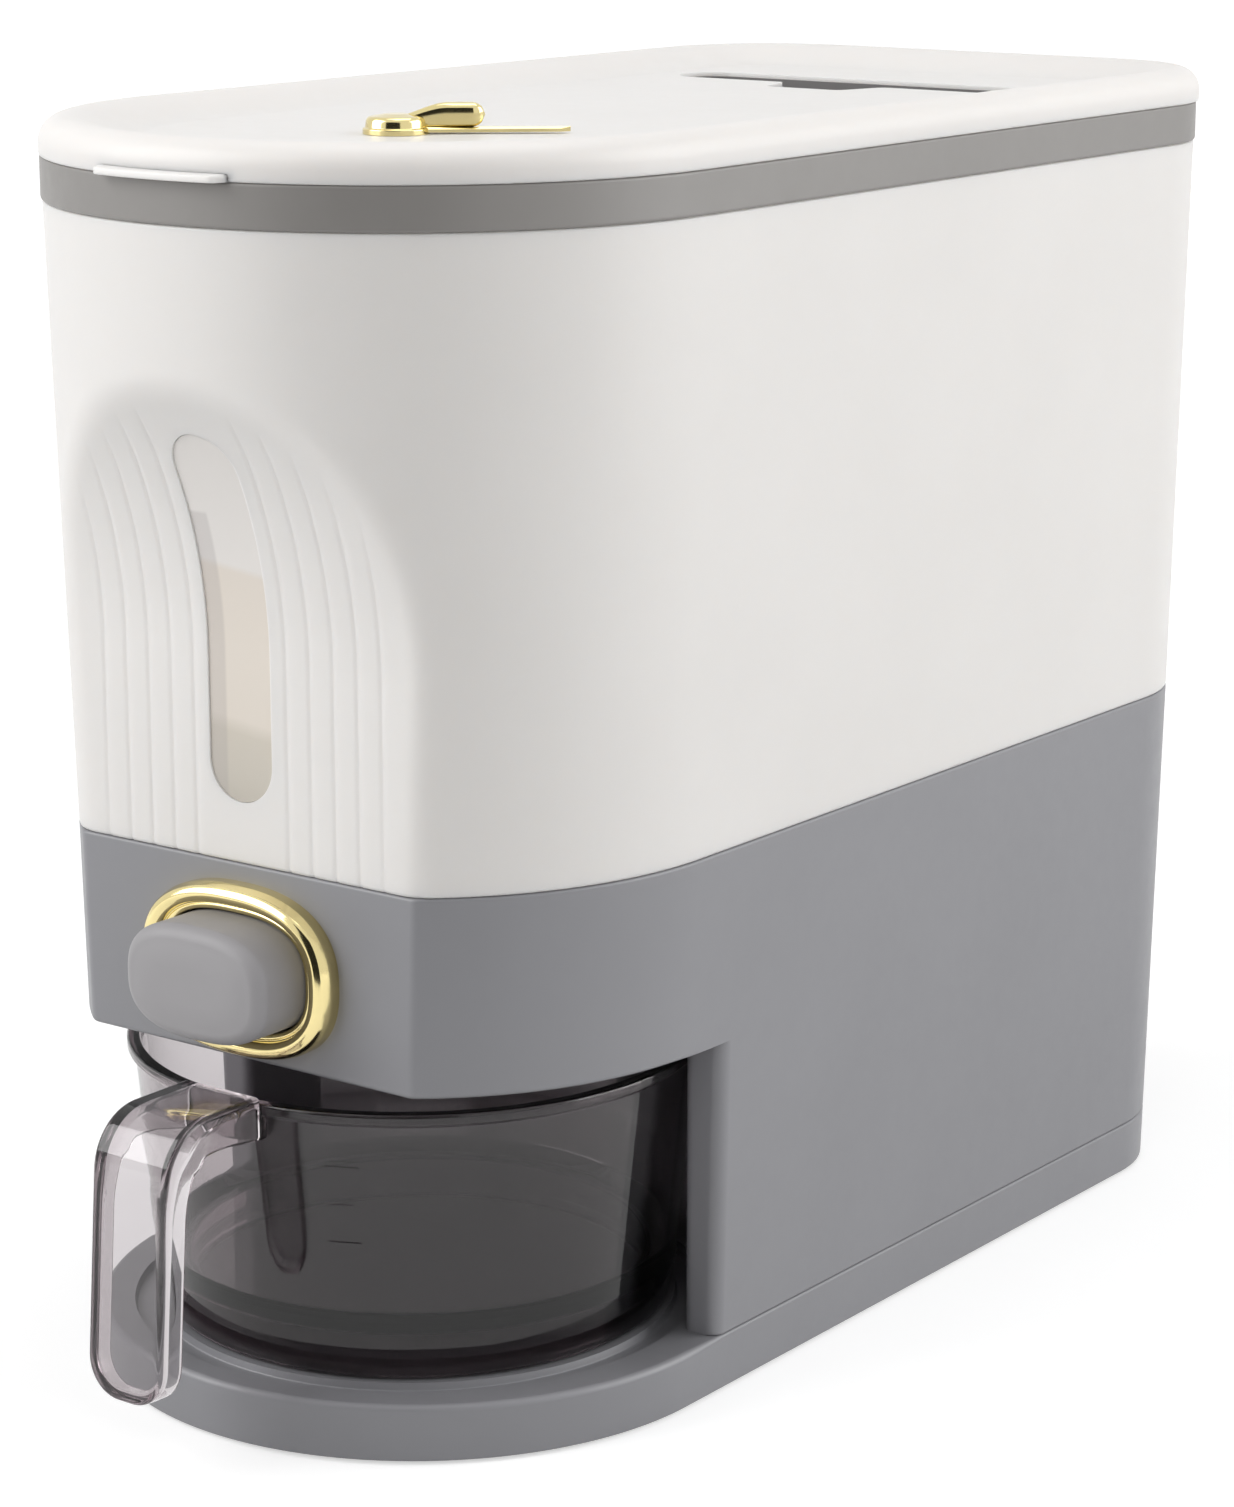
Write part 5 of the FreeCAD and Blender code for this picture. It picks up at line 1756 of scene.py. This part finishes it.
@dataclass
class MoistureBox:
    """Tray under the lid's recess, a thin grey lining that paints shade on the lower part of the recess's
    wall, and its slotted cover.
    """

    edge: float = 0.0004
    cover_edge: float = 0.0003
    lining: float = 0.00035
    lining_gap: float = 0.00002
    lining_top: float = 0.3616
    lining_low: float = 0.3585

    def painted_shade_liner(self) -> bpy.types.Object:
        """Make the thin grey wall that lines the recess, as painted shade on the lower part of its wall.

        Returns:
            The wall.
        """
        outer, inner = (Lid().well_outline(inset) for inset in (self.lining_gap, self.lining))
        low, top = self.lining_low, self.lining_top
        return lofted("recess_painted_shade", (raised(outer, low), raised(outer, top), raised(inner, top),
                                       raised(inner, low)), looped=True)

    def build(self, dresser: Dresser) -> None:
        """Make and dress the tray and its cover.

        Args:
            dresser: It puts the finishes on.
        """
        # The lining is painted shade on the recess's wall, joined to the tray.
        tray = merge(soft_copy("moisture_tray", "moisture_box_tray", self.edge), self.painted_shade_liner())
        dresser.dress(tray, Slot.GREY, Body.LID, "moisture_tray", finish=TRAY_AND_RECESS_SHADE_FINISH)
        cover = soft_copy("moisture_cover", "moisture_box_cover", self.cover_edge)
        dresser.dress(cover, Slot.GREY, Body.LIFT, "moisture_cover")


@dataclass
class Dial:
    """Gold pointer on the lid: domed hub, raised grip wing and flat hand."""

    turn: float = math.radians(38.5)
    hub_radius: float = 0.0095
    hub_high: float = 0.0056
    hub_foot: float = 0.0016
    hub_step: float = 0.0007
    hand_long: float = 0.0490
    hand_root: float = 0.0034
    hand_tip: float = 0.0016
    hand_low: float = 0.0005
    hand_thick: float = 0.0014
    hand_soft: float = 0.0005
    hand_shares: tuple[float, ...] = (0.0, 0.35, 0.7, 0.943, 0.985, 1.0)
    point_start: float = 0.943
    point_end: float = 0.12
    wing_long: float = 0.025
    wing_back: float = 0.002
    wing_high: float = 0.0084
    wing_root: float = 0.0042
    wing_foot: float = 0.0008
    wing_foot_rise: float = 0.0007
    wing_lift: float = 0.0004
    wing_half: float = 0.0024
    wing_close: float = 0.86
    wing_end: float = 0.05
    wing_rise_end: float = 0.62
    wing_widths: Flat = (0.75, 0.45)
    wing_widen_end: float = 0.7
    wing_across: float = 0.7
    wing_upright: float = 0.62

    def hub(self) -> bpy.types.Object:
        """Make the domed hub with a stepped foot.

        Returns:
            The hub.
        """
        wide, high = self.hub_radius, self.hub_high
        profile = rounded([(0.0, 0.0, 0), (wide, 0.0, 0.0002), (wide, self.hub_foot, 0.0004),
                           (wide - self.hub_step, self.hub_foot + 0.0003, 0.0003),
                           (wide - self.hub_step - 0.0004, high - 0.0008, 0.0022), (0.0030, high, 0.004),
                           (0.0, high, 0)])
        return turned("dial_hub", profile, (0.0, 0.0), 72)

    def hand(self) -> bpy.types.Object:
        """Make the flat hand with chamfered edges and a pointed tip.

        Returns:
            The hand.
        """
        low, high = self.hand_low, self.hand_low + self.hand_thick
        layers = []
        for share in self.hand_shares:
            x = self.hand_long * share
            wide = self.hand_root + (self.hand_tip - self.hand_root) * min(share / self.point_start, 1.0)
            if share > self.point_start:
                wide *= max((1 - share) / (1 - self.point_start), self.point_end)
            soft = min(self.hand_soft, wide * 0.4)
            layers.append([(x, -wide, low), (x, wide, low), (x, wide, high - soft), (x, wide - soft, high),
                           (x, -wide + soft, high), (x, -wide, high - soft)])
        return lofted("dial_hand", layers)

    def wing(self) -> bpy.types.Object:
        """Make the grip wing, which rises from the hub and ends round.

        Returns:
            The wing.
        """
        layers = []
        for share in shares(30):
            x = -self.wing_back + (self.wing_long + self.wing_back) * share
            top = self.wing_root + (self.wing_high - self.wing_root) * easing(share / self.wing_rise_end)
            foot = self.wing_foot + self.wing_foot_rise * easing(share)
            ending = max((share - self.wing_close) / (1 - self.wing_close), 0.0)
            close = max(math.sqrt(max(1 - ending ** 2, 0.0)), self.wing_end)
            middle, tall = (top + foot) / 2 + self.wing_lift, (top - foot) / 2 * close
            root, more = self.wing_widths
            wide = self.wing_half * (root + more * easing(share / self.wing_widen_end)) * close
            layers.append([(x, wide * math.copysign(abs(side) ** self.wing_across, side),
                            middle + tall * math.copysign(abs(up) ** self.wing_upright, up))
                           for side, up in circle((0.0, 0.0), 1.0, 28)])
        return lofted("dial_wing", layers)

    def build(self, dresser: Dresser) -> None:
        """Make, turn and dress the pointer.

        Args:
            dresser: It puts the finishes on.
        """
        whole = merge(self.hub(), self.hand(), self.wing())
        settle(whole)
        place = Matrix.Translation((*FORM.dial_centre, FORM.lid_floor))
        whole.data.transform(place @ Matrix.Rotation(self.turn, 4, "Z"))
        smooth(whole)
        whole.name = "dial_gold_pointer"
        dresser.dress(whole, Slot.GOLD, Body.POINTER, "dial_pointer")


@dataclass
class PushButton:
    """Soft-edged grey button, the gold ring round it, and the parts that it moves."""

    half: float = 0.0255
    tall: float = 0.0165
    front: float = -0.1929
    edge: float = 0.0044
    skin_thick: float = 0.0024
    crown: float = 0.0008
    crown_reach: float = 0.007
    crown_shares: tuple[float, ...] = (0.15, 0.35, 0.6, 0.85, 1.0)
    power: float = 2.7
    lip_out: float = 0.0016
    lip_thick: float = 0.002
    lip_gap: float = 0.0002
    ring_half: float = 0.0346
    ring_tall: float = 0.0249
    ring_power: float = 2.45
    ring_sharp: float = math.radians(60)
    ring_rolls: tuple[Corner, ...] = (
        (0.0, 0.0, 0), (0.0, 0.0032, 0.0030), (0.0012, 0.0064, 0.0022), (0.0036, 0.0076, 0.0034),
        (0.0058, 0.0064, 0.0016), (0.0064, 0.0046, 0.0005), (0.0072, 0.0050, 0.0008))
    gap: float = 0.0004
    stroke: float = 0.012
    spring_z: float = 0.1414
    spring_radius: float = 0.0052
    spring_wire: float = 0.0007
    spring_turns: float = 6.0
    spring_back: float = -0.1346
    turn_steps: int = 36
    gate_edge: float = 0.0003

    def outline(self, inset: float, y: float) -> list[Spot]:
        """Return the button's outline, moved in, at a y."""
        shape = oval(self.half - inset, self.tall - inset, self.power)
        return [(x, y, FORM.button_z + up) for x, up in shape]

    def cap(self) -> bpy.types.Object:
        """Make the hollow cap with its retaining lip.

        Returns:
            The cap.
        """
        skin = Skin("button_face")
        lip_front = FORM.facet_y + FORM.wall
        lip_near, lip_far = lip_front + self.lip_gap, lip_front + self.lip_thick
        places = [(self.skin_thick, lip_far), (-self.lip_out, lip_far), (-self.lip_out, lip_near),
                  (0.0, lip_near)]
        for inset, drop in reversed(quarter_round(self.edge, 10)):
            places.append((inset, self.front + self.crown + drop))
        for share in self.crown_shares:
            places.append((self.edge + self.crown_reach * share, self.front + self.crown * (1 - share) ** 2))
        inner = ((self.skin_thick, self.front + self.edge),
                 (self.edge, self.front + self.skin_thick + self.crown))
        outside = [skin.ring(self.outline(inset, y)) for inset, y in places]
        inside = [outside[0]] + [skin.ring(self.outline(inset, y)) for inset, y in inner]
        for rings in (outside, inside):
            skin.stack(rings)
            skin.cap(rings[-1])
        return skin.build()

    def ring(self) -> bpy.types.Object:
        """Make the bulging ring: a broad outer roll, a fine crease and a narrow inner roll.

        Returns:
            The ring.
        """
        wide = self.ring_half - self.half - self.gap
        profile = rounded([*self.ring_rolls, (wide - 0.0003, 0.0046, 0.0006), (wide, 0.0030, 0.0006),
                           (wide, 0.0, 0)], 8)
        start = (self.ring_half, self.ring_tall, self.ring_power)
        end = (self.half + self.gap, self.tall + self.gap, self.power)
        layers = []
        for across, rise in profile:
            half, tall, power = (a + (b - a) * across / wide for a, b in zip(start, end))
            layers.append([(x, FORM.facet_y - rise, FORM.button_z + up)
                           for x, up in oval(half, tall, power, 192)])
        return lofted("button_trim", layers, looped=True, sharp=self.ring_sharp)

    def spring(self) -> bpy.types.Object:
        """Make the return spring as a smooth round wire.

        Returns:
            The spring.
        """
        front = self.front + self.skin_thick + self.spring_wire
        steps = int(self.spring_turns * self.turn_steps)
        turns = between(0.0, 2 * math.pi * self.spring_turns, steps)
        layers = []
        for turn, y in zip(turns, between(self.spring_back, front, steps)):
            out = Vector((math.cos(turn), 0.0, math.sin(turn)))
            spots = []
            for across, along in circle((0.0, 0.0), self.spring_wire, 10):
                spot = out * (self.spring_radius + across)
                spots.append((spot.x, y + along, self.spring_z + spot.z))
            layers.append(spots)
        return lofted("return_coil", layers)

    def build(self, dresser: Dresser) -> None:
        """Make and dress the button, its ring, spring and shutter.

        Args:
            dresser: It puts the finishes on.
        """
        dresser.dress(self.cap(), Slot.BUTTON, Body.BUTTON, "button_cap")
        smooth_now(dresser.dress(self.ring(), Slot.GOLD, Body.FRAME, "button_ring"))
        coil = dresser.dress(self.spring(), Slot.SPRING, Body.FRAME, "return_spring")
        settle(coil)
        smooth_now(coil)
        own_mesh(coil)
        plate = soft_copy("gate_plate", "shutter_plate", self.gate_edge)
        dresser.dress(plate, Slot.DARK, Body.BUTTON, "gate_plate")
        dresser.restyle(Slot.DARK, "gate_guide", "outlet_chute")


@dataclass
class MeasuringCup:
    """Smoked clear cup on a foot ring, with a channel-shaped handle and plain level marks."""

    foot: float = 0.0755
    foot_ring: float = 0.0065
    foot_lean: float = 0.0002
    under: float = 0.0313
    floor: float = 0.0345
    heel: float = 0.0773
    heel_z: float = 0.028
    top: float = 0.0833
    rim: float = 0.0855
    rim_low: float = 0.0976
    rim_foot: float = 0.0014
    high: float = 0.1006
    wall: float = 0.0022
    handle_half: float = 0.014
    handle_top: float = 0.103
    pad_front: float = -0.1799
    pad_low: float = 0.090
    pad_edge: float = 0.0008
    pad_in: float = 0.0004
    pad_drop: float = 0.0003
    pad_sink: float = 0.0012
    pad_lean: float = 0.0006
    bend_y: float = -0.2154
    bend_lean: float = 0.0014
    bend_steps: int = 14
    end_y: float = -0.2229
    end_z: float = 0.023
    bend_round: float = 0.017
    path_step: float = 0.004
    crook: float = 0.0042
    crook_run: float = 0.034
    crook_reach: float = 0.024
    deep: float = 0.0086
    root_deep: float = 0.0124
    root_reach: float = 0.03
    web: float = 0.0024
    web_round: float = 0.0015
    face_in: float = 0.0050
    face_round: float = 0.0013
    flange: float = 0.0022
    flange_edge: float = 0.0006
    tip_round: float = 0.0115
    side_steps: int = 46
    grip_sharp: float = math.radians(50)
    mark_turn: float = 0.428
    mark_levels: tuple[Flat, ...] = ((0.0835, 0.0050), (0.0720, 0.0032), (0.0605, 0.0050))
    mark_tall: float = 0.0007
    mark_deep: float = 0.0003
    trim_reach: float = 0.01

    def bowl(self) -> bpy.types.Object:
        """Make the bowl with its rim, raised floor and foot ring.

        Returns:
            The bowl.
        """
        inner, low = self.foot - self.foot_ring, FORM.plate_top
        top_in, heel_in = self.top - self.wall, self.heel - self.wall
        profile = rounded([
            (0.0, self.under, 0), (inner, self.under, 0.0012), (inner + self.foot_lean, low, 0.0005),
            (self.foot, low, 0.006), (self.heel, self.heel_z, 0.006),
            (self.top, self.rim_low - self.rim_foot, 0.001), (self.rim, self.rim_low, 0.0008),
            (self.rim, self.high, 0.0011), (top_in + 0.0005, self.high, 0.0008),
            (top_in, self.high - 0.002, 0.001), (heel_in + 0.0002, self.floor + 0.004, 0.003),
            (heel_in - 0.004, self.floor, 0.003), (0.0, self.floor, 0)], 7)
        return turned("cup_glass", profile, FORM.cup_centre, 192)

    def level_marks(self) -> bpy.types.Object:
        """Make the raised level marks: plain short bars that follow the wall, one over another.

        Returns:
            The marks.
        """
        skin = Skin("cup_marks")
        slope = (self.top - self.heel) / (self.rim_low - self.rim_foot - self.heel_z)
        for z, half in self.mark_levels:
            layers = []
            for share in between(-1.0, 1.0, 8):
                turn = self.mark_turn + share * half / self.top
                spots = []
                for side, up in ((-1, -1), (1, -1), (1, 1), (-1, 1)):
                    high = z + up * self.mark_tall / 2
                    reach = self.heel + slope * (high - self.heel_z) + side * self.mark_deep
                    spots.append((reach * math.sin(turn), FORM.cup_centre[1] - reach * math.cos(turn), high))
                layers.append(spots)
            skin.loft(layers)
        return skin.build()

    def path(self) -> tuple[list[Vector], list[Vector], list[float]]:
        """Return the handle's outer side.

        Returns:
            Its points, their inward normals and their running lengths.
        """
        corners = [(self.pad_front, self.handle_top, 0.0),
                   (self.bend_y - self.bend_lean, self.handle_top, self.bend_round),
                   (self.end_y, self.end_z, 0.0)]
        raw = [Vector(spot) for spot in rounded_arc(corners, self.bend_steps)]
        fine = []
        for one, two in zip(raw, raw[1:]):
            parts = max(int((two - one).length / self.path_step), 1)
            fine += [one.lerp(two, index / parts) for index in range(parts)]
        fine.append(raw[-1])
        normals, runs, total = [], [], 0.0
        for index, spot in enumerate(fine):
            ahead, behind = fine[min(index + 1, len(fine) - 1)], fine[max(index - 1, 0)]
            way = (ahead - behind).normalized()
            normals.append(Vector((-way.y, way.x)))
            total += (spot - fine[index - 1]).length if index else 0.0
            runs.append(total)
        return fine, normals, runs

    def handle(self) -> bpy.types.Object:
        """Make the handle: a face with a wall along both sides and round its lower end.

        Returns:
            The handle.
        """
        skin = Skin("cup_grip")
        path, normals, runs = self.path()

        def at(x: float, run: float, depth: float) -> Spot:
            """Return a point of the handle.

            Args:
                x: Its x.
                run: How far down the path it is.
                depth: How far behind the outer face it is, where the channel is at its plainest.

            Returns:
                The point.
            """
            index = 0
            while index < len(runs) - 2 and runs[index + 1] < run:
                index += 1
            share = min(max((run - runs[index]) / (runs[index + 1] - runs[index]), 0.0), 1.0)
            spot = path[index].lerp(path[index + 1], share)
            way = normals[index].lerp(normals[index + 1], share)
            grow = 1 + (self.root_deep / self.deep - 1) * (1 - easing(run / self.root_reach))
            if depth > self.web:
                depth = depth * grow + self.crook * easing(1 - abs(run - self.crook_run) / self.crook_reach)
            spot = spot + way * depth
            return x, spot.x, spot.y

        def loop(inset: float, depth: float) -> list[int]:
            """Add a line down one side, round the lower end and up the other side.

            Args:
                inset: How far inside the handle's outline it runs.
                depth: How far behind the outer face it runs.

            Returns:
                Its numbers.
            """
            half, corner = self.handle_half - inset, self.tip_round - inset
            straight = runs[-1] - inset - corner
            left = [(-half, run) for run in between(0.0, straight, self.side_steps)[:-1]]
            left += arc((-half + corner, straight), corner, HALF_TURN, QUARTER, 12)
            both = left + [(-x, run) for x, run in reversed(left)]
            return skin.ring([at(x, run, depth) for x, run in both])

        wall, edge = self.flange, self.flange_edge
        places = [(self.face_in, 0.0)] + quarter_round(self.face_round, 6)
        places += [(0.0, self.deep - edge), (edge, self.deep), (wall - edge, self.deep),
                   (wall, self.deep - edge)]
        places += [(wall + drop, self.web + inset) for inset, drop in quarter_round(self.web_round, 4)]
        places.append((self.face_in, self.web))
        loops = [loop(inset, depth) for inset, depth in places]
        skin.stack(loops, closed=False)
        for line in (loops[0], loops[-1]):
            for index in range(len(line) // 2 - 1):
                skin.cap([line[index], line[index + 1], line[-2 - index], line[-1 - index]])
        skin.cap([line[0] for line in loops] + [line[-1] for line in reversed(loops)])
        return skin.build(self.grip_sharp)

    def mount(self) -> bpy.types.Object:
        """Make the small block that joins the handle to the bowl's rim, hollowed to the bowl.

        Returns:
            The block.
        """
        half = self.handle_half - self.pad_in
        low, high = self.floor + self.trim_reach, self.high + self.trim_reach
        near, far = self.pad_front, FORM.cup_centre[1] - self.top + self.pad_sink
        piece = block("cup_mount", (-half, near, self.pad_low), (half, far, self.high - self.pad_drop),
                      self.pad_edge)
        hollow = [(0.0, low), (self.top - self.pad_sink, low), (self.top - self.pad_lean, high),
                  (0.0, high)]
        carve(piece, turned("mount_trim", hollow, FORM.cup_centre, 192))
        return piece

    def build(self, dresser: Dresser) -> None:
        """Make and dress the bowl and its handle.

        Args:
            dresser: It puts the finishes on.
        """
        bowl = self.bowl()
        for solid in (self.mount(), self.level_marks()):
            carve(bowl, solid, "UNION")
        dresser.dress(bowl, Slot.SMOKE, Body.CUP, "cup_bowl")
        dresser.dress(self.handle(), Slot.SMOKE, Body.CUP, "cup_handle")


# ---------------------------------------------------------------- camera, light and floor


@dataclass(frozen=True)
class Lamp:
    """One soft studio lamp."""

    name: str
    place: Spot
    aim: Spot
    size: float
    power: float
    mirrored: bool = True

    def build(self) -> None:
        """Make the lamp and turn it to its aim."""
        data = bpy.data.lights.new(self.name, "AREA")
        data.shape = "RECTANGLE"
        data.size = data.size_y = self.size
        data.energy = self.power
        lamp = linked(self.name, data)
        lamp.location = self.place
        lamp.rotation_euler = (Vector(self.aim) - Vector(self.place)).to_track_quat("-Z", "Y").to_euler()
        lamp.visible_glossy = self.mirrored


@dataclass
class Studio:
    """Camera, soft light, pale floor and white surroundings."""

    eye: Spot = (0.73547, -0.98310, 0.46464)
    ahead: Spot = (-0.5796, 0.7795, -0.2375)
    right: Spot = (0.8025, 0.5967, 0.0)
    lens: float = 96.96
    sensor: float = 36.0
    nearest: float = 0.01
    ambient: float = 0.23
    floor_half: float = 12.0
    floor_colour: Colour = (0.64, 0.64, 0.64)
    floor_shade: float = 0.985
    floor_lift: Flat = (0.54, 0.97)
    lift_reach: Flat = (0.35, 3.0)
    lamps: tuple[Lamp, ...] = (
        Lamp("key_lamp", (-1.05, -1.30, 1.15), (0.0, -0.1, 0.2), 1.4, 25.2),
        Lamp("side_lamp", (1.75, 1.05, 0.95), (0.0, 0.05, 0.2), 1.6, 29.0),
        Lamp("top_lamp", (0.1, 0.2, 2.0), (0.0, 0.0, 0.2), 1.2, 9.0),
        Lamp("fill_lamp", (1.10, -1.50, 0.95), (0.0, 0.0, 0.2), 1.6, 8.0, mirrored=False),
    )
    card_place: Spot = (0.30, -0.66, 0.38)
    card_size: Flat = (0.66, 0.76)
    card_tones: tuple[Colour, Colour] = ((0.03, 0.03, 0.03), (0.05, 0.05, 0.05))
    card_hidden: tuple[str, ...] = ("camera", "diffuse", "transmission", "volume_scatter", "shadow")

    def camera(self) -> None:
        """Set the camera up."""
        data = bpy.data.cameras.new("view")
        data.lens = self.lens
        data.sensor_width = self.sensor
        data.sensor_fit = "AUTO"
        data.clip_start = self.nearest
        ahead, right = Vector(self.ahead).normalized(), Vector(self.right).normalized()
        turn = Matrix((right, right.cross(ahead), -ahead)).transposed().to_4x4()
        camera = linked("view", data)
        camera.matrix_world = Matrix.Translation(self.eye) @ turn
        bpy.context.scene.camera = camera

    def world(self) -> None:
        """Light all round softly, and show white to the camera, to gloss and through clear plastic."""
        world = bpy.data.worlds.new("surroundings")
        bpy.context.scene.world = world
        world.use_nodes = True
        tree = world.node_tree
        tree.nodes.clear()
        soft, white = (add_node(tree, "ShaderNodeBackground", {"Color": PLAIN_WHITE, "Strength": strength})
                       for strength in (self.ambient, 1.0))
        mix = add_node(tree, "ShaderNodeMixShader", {
            "Fac": any_ray(tree), 1: soft.outputs["Background"], 2: white.outputs["Background"]})
        add_node(tree, "ShaderNodeOutputWorld", {"Surface": mix.outputs["Shader"]})

    def sheet(self, name: str, corners: list[Spot], material: bpy.types.Material) -> bpy.types.Object:
        """Make a flat sheet.

        Args:
            name: Its name.
            corners: Its corners.
            material: Its material.

        Returns:
            The sheet.
        """
        skin = Skin(name)
        skin.cap(skin.ring(corners))
        piece = skin.build()
        piece.modifiers.clear()
        piece.data.materials.append(material)
        return piece

    def floor(self) -> None:
        """Lay the pale floor, which lifts to white for the camera and keeps the shadow."""
        nodes = NodeSheet("floor_paper")
        tone = nodes.shades(nodes.noise(25.0, 6.0), self.floor_colour, self.floor_shade, 1.0)
        paper = nodes.add("ShaderNodeBsdfDiffuse", {"Color": tone}).outputs["BSDF"]
        away = nodes.add("ShaderNodeVectorMath", {0: nodes.place}, operation="LENGTH").outputs["Value"]
        rise = nodes.remap(away, self.lift_reach, self.floor_lift)
        lift = nodes.add("ShaderNodeEmission", {"Color": PLAIN_WHITE, "Strength": rise}).outputs["Emission"]
        both = nodes.add("ShaderNodeAddShader", {0: paper, 1: lift}).outputs["Shader"]
        mix = nodes.add("ShaderNodeMixShader", {"Fac": any_ray(nodes.tree), 1: paper, 2: both})
        half = self.floor_half
        corners = [(-half, -half, 0.0), (half, -half, 0.0), (half, half, 0.0), (-half, half, 0.0)]
        self.sheet("studio_floor", corners, nodes.show(mix.outputs["Shader"]))

    def card(self) -> None:
        """Stand up a dark card that shows only in gloss, so that bright metal has something to mirror."""
        middle = Vector(self.card_place)
        across = Vector((-middle.y, middle.x, 0.0)).normalized() * self.card_size[0] / 2
        up = Vector((0.0, 0.0, self.card_size[1] / 2))
        corners = [tuple(middle + across * x + up * z) for x, z in ((-1, -1), (1, -1), (1, 1), (-1, 1))]
        nodes = NodeSheet("card_felt")
        tone = nodes.tint(nodes.noise(40.0, 5.0), *self.card_tones)
        felt = nodes.add("ShaderNodeBsdfDiffuse", {"Color": tone})
        piece = self.sheet("studio_card", corners, nodes.show(felt.outputs["BSDF"]))
        for kind in self.card_hidden:
            setattr(piece, "visible_" + kind, False)

    def build(self) -> None:
        """Make the whole studio."""
        bpy.context.scene.view_settings.view_transform = "Standard"
        self.camera()
        self.world()
        self.floor()
        self.card()
        for lamp in self.lamps:
            lamp.build()
        LOG.info("studio: %d lamps", len(self.lamps))


def any_ray(tree: bpy.types.NodeTree) -> bpy.types.NodeSocket:
    """Return 1 for rays from the camera, off gloss or through clear plastic.

    Args:
        tree: The node tree.

    Returns:
        The socket that holds the value.
    """
    rays = add_node(tree, "ShaderNodeLightPath").outputs
    total = rays["Is Camera Ray"]
    for kind in ("Is Glossy Ray", "Is Transmission Ray"):
        more = add_node(tree, "ShaderNodeMath", {0: total, 1: rays[kind]}, operation="MAXIMUM")
        total = more.outputs["Value"]
    return total


def write_sizes() -> None:
    bpy.context.view_layer.update()


def main() -> None:
    """Build the studio and then each sub-assembly, from the floor up."""
    logging.basicConfig(level=logging.INFO, format="%(message)s")
    dresser = Dresser()
    Studio().build()
    for part in (BasePlate(), Housing(), Hopper(), Funnel(), Collar(), Lid(), MoistureBox(), Dial(),
                 PushButton(), MeasuringCup()):
        part.build(dresser)
    write_sizes()


if __name__ == "__main__":
    main()
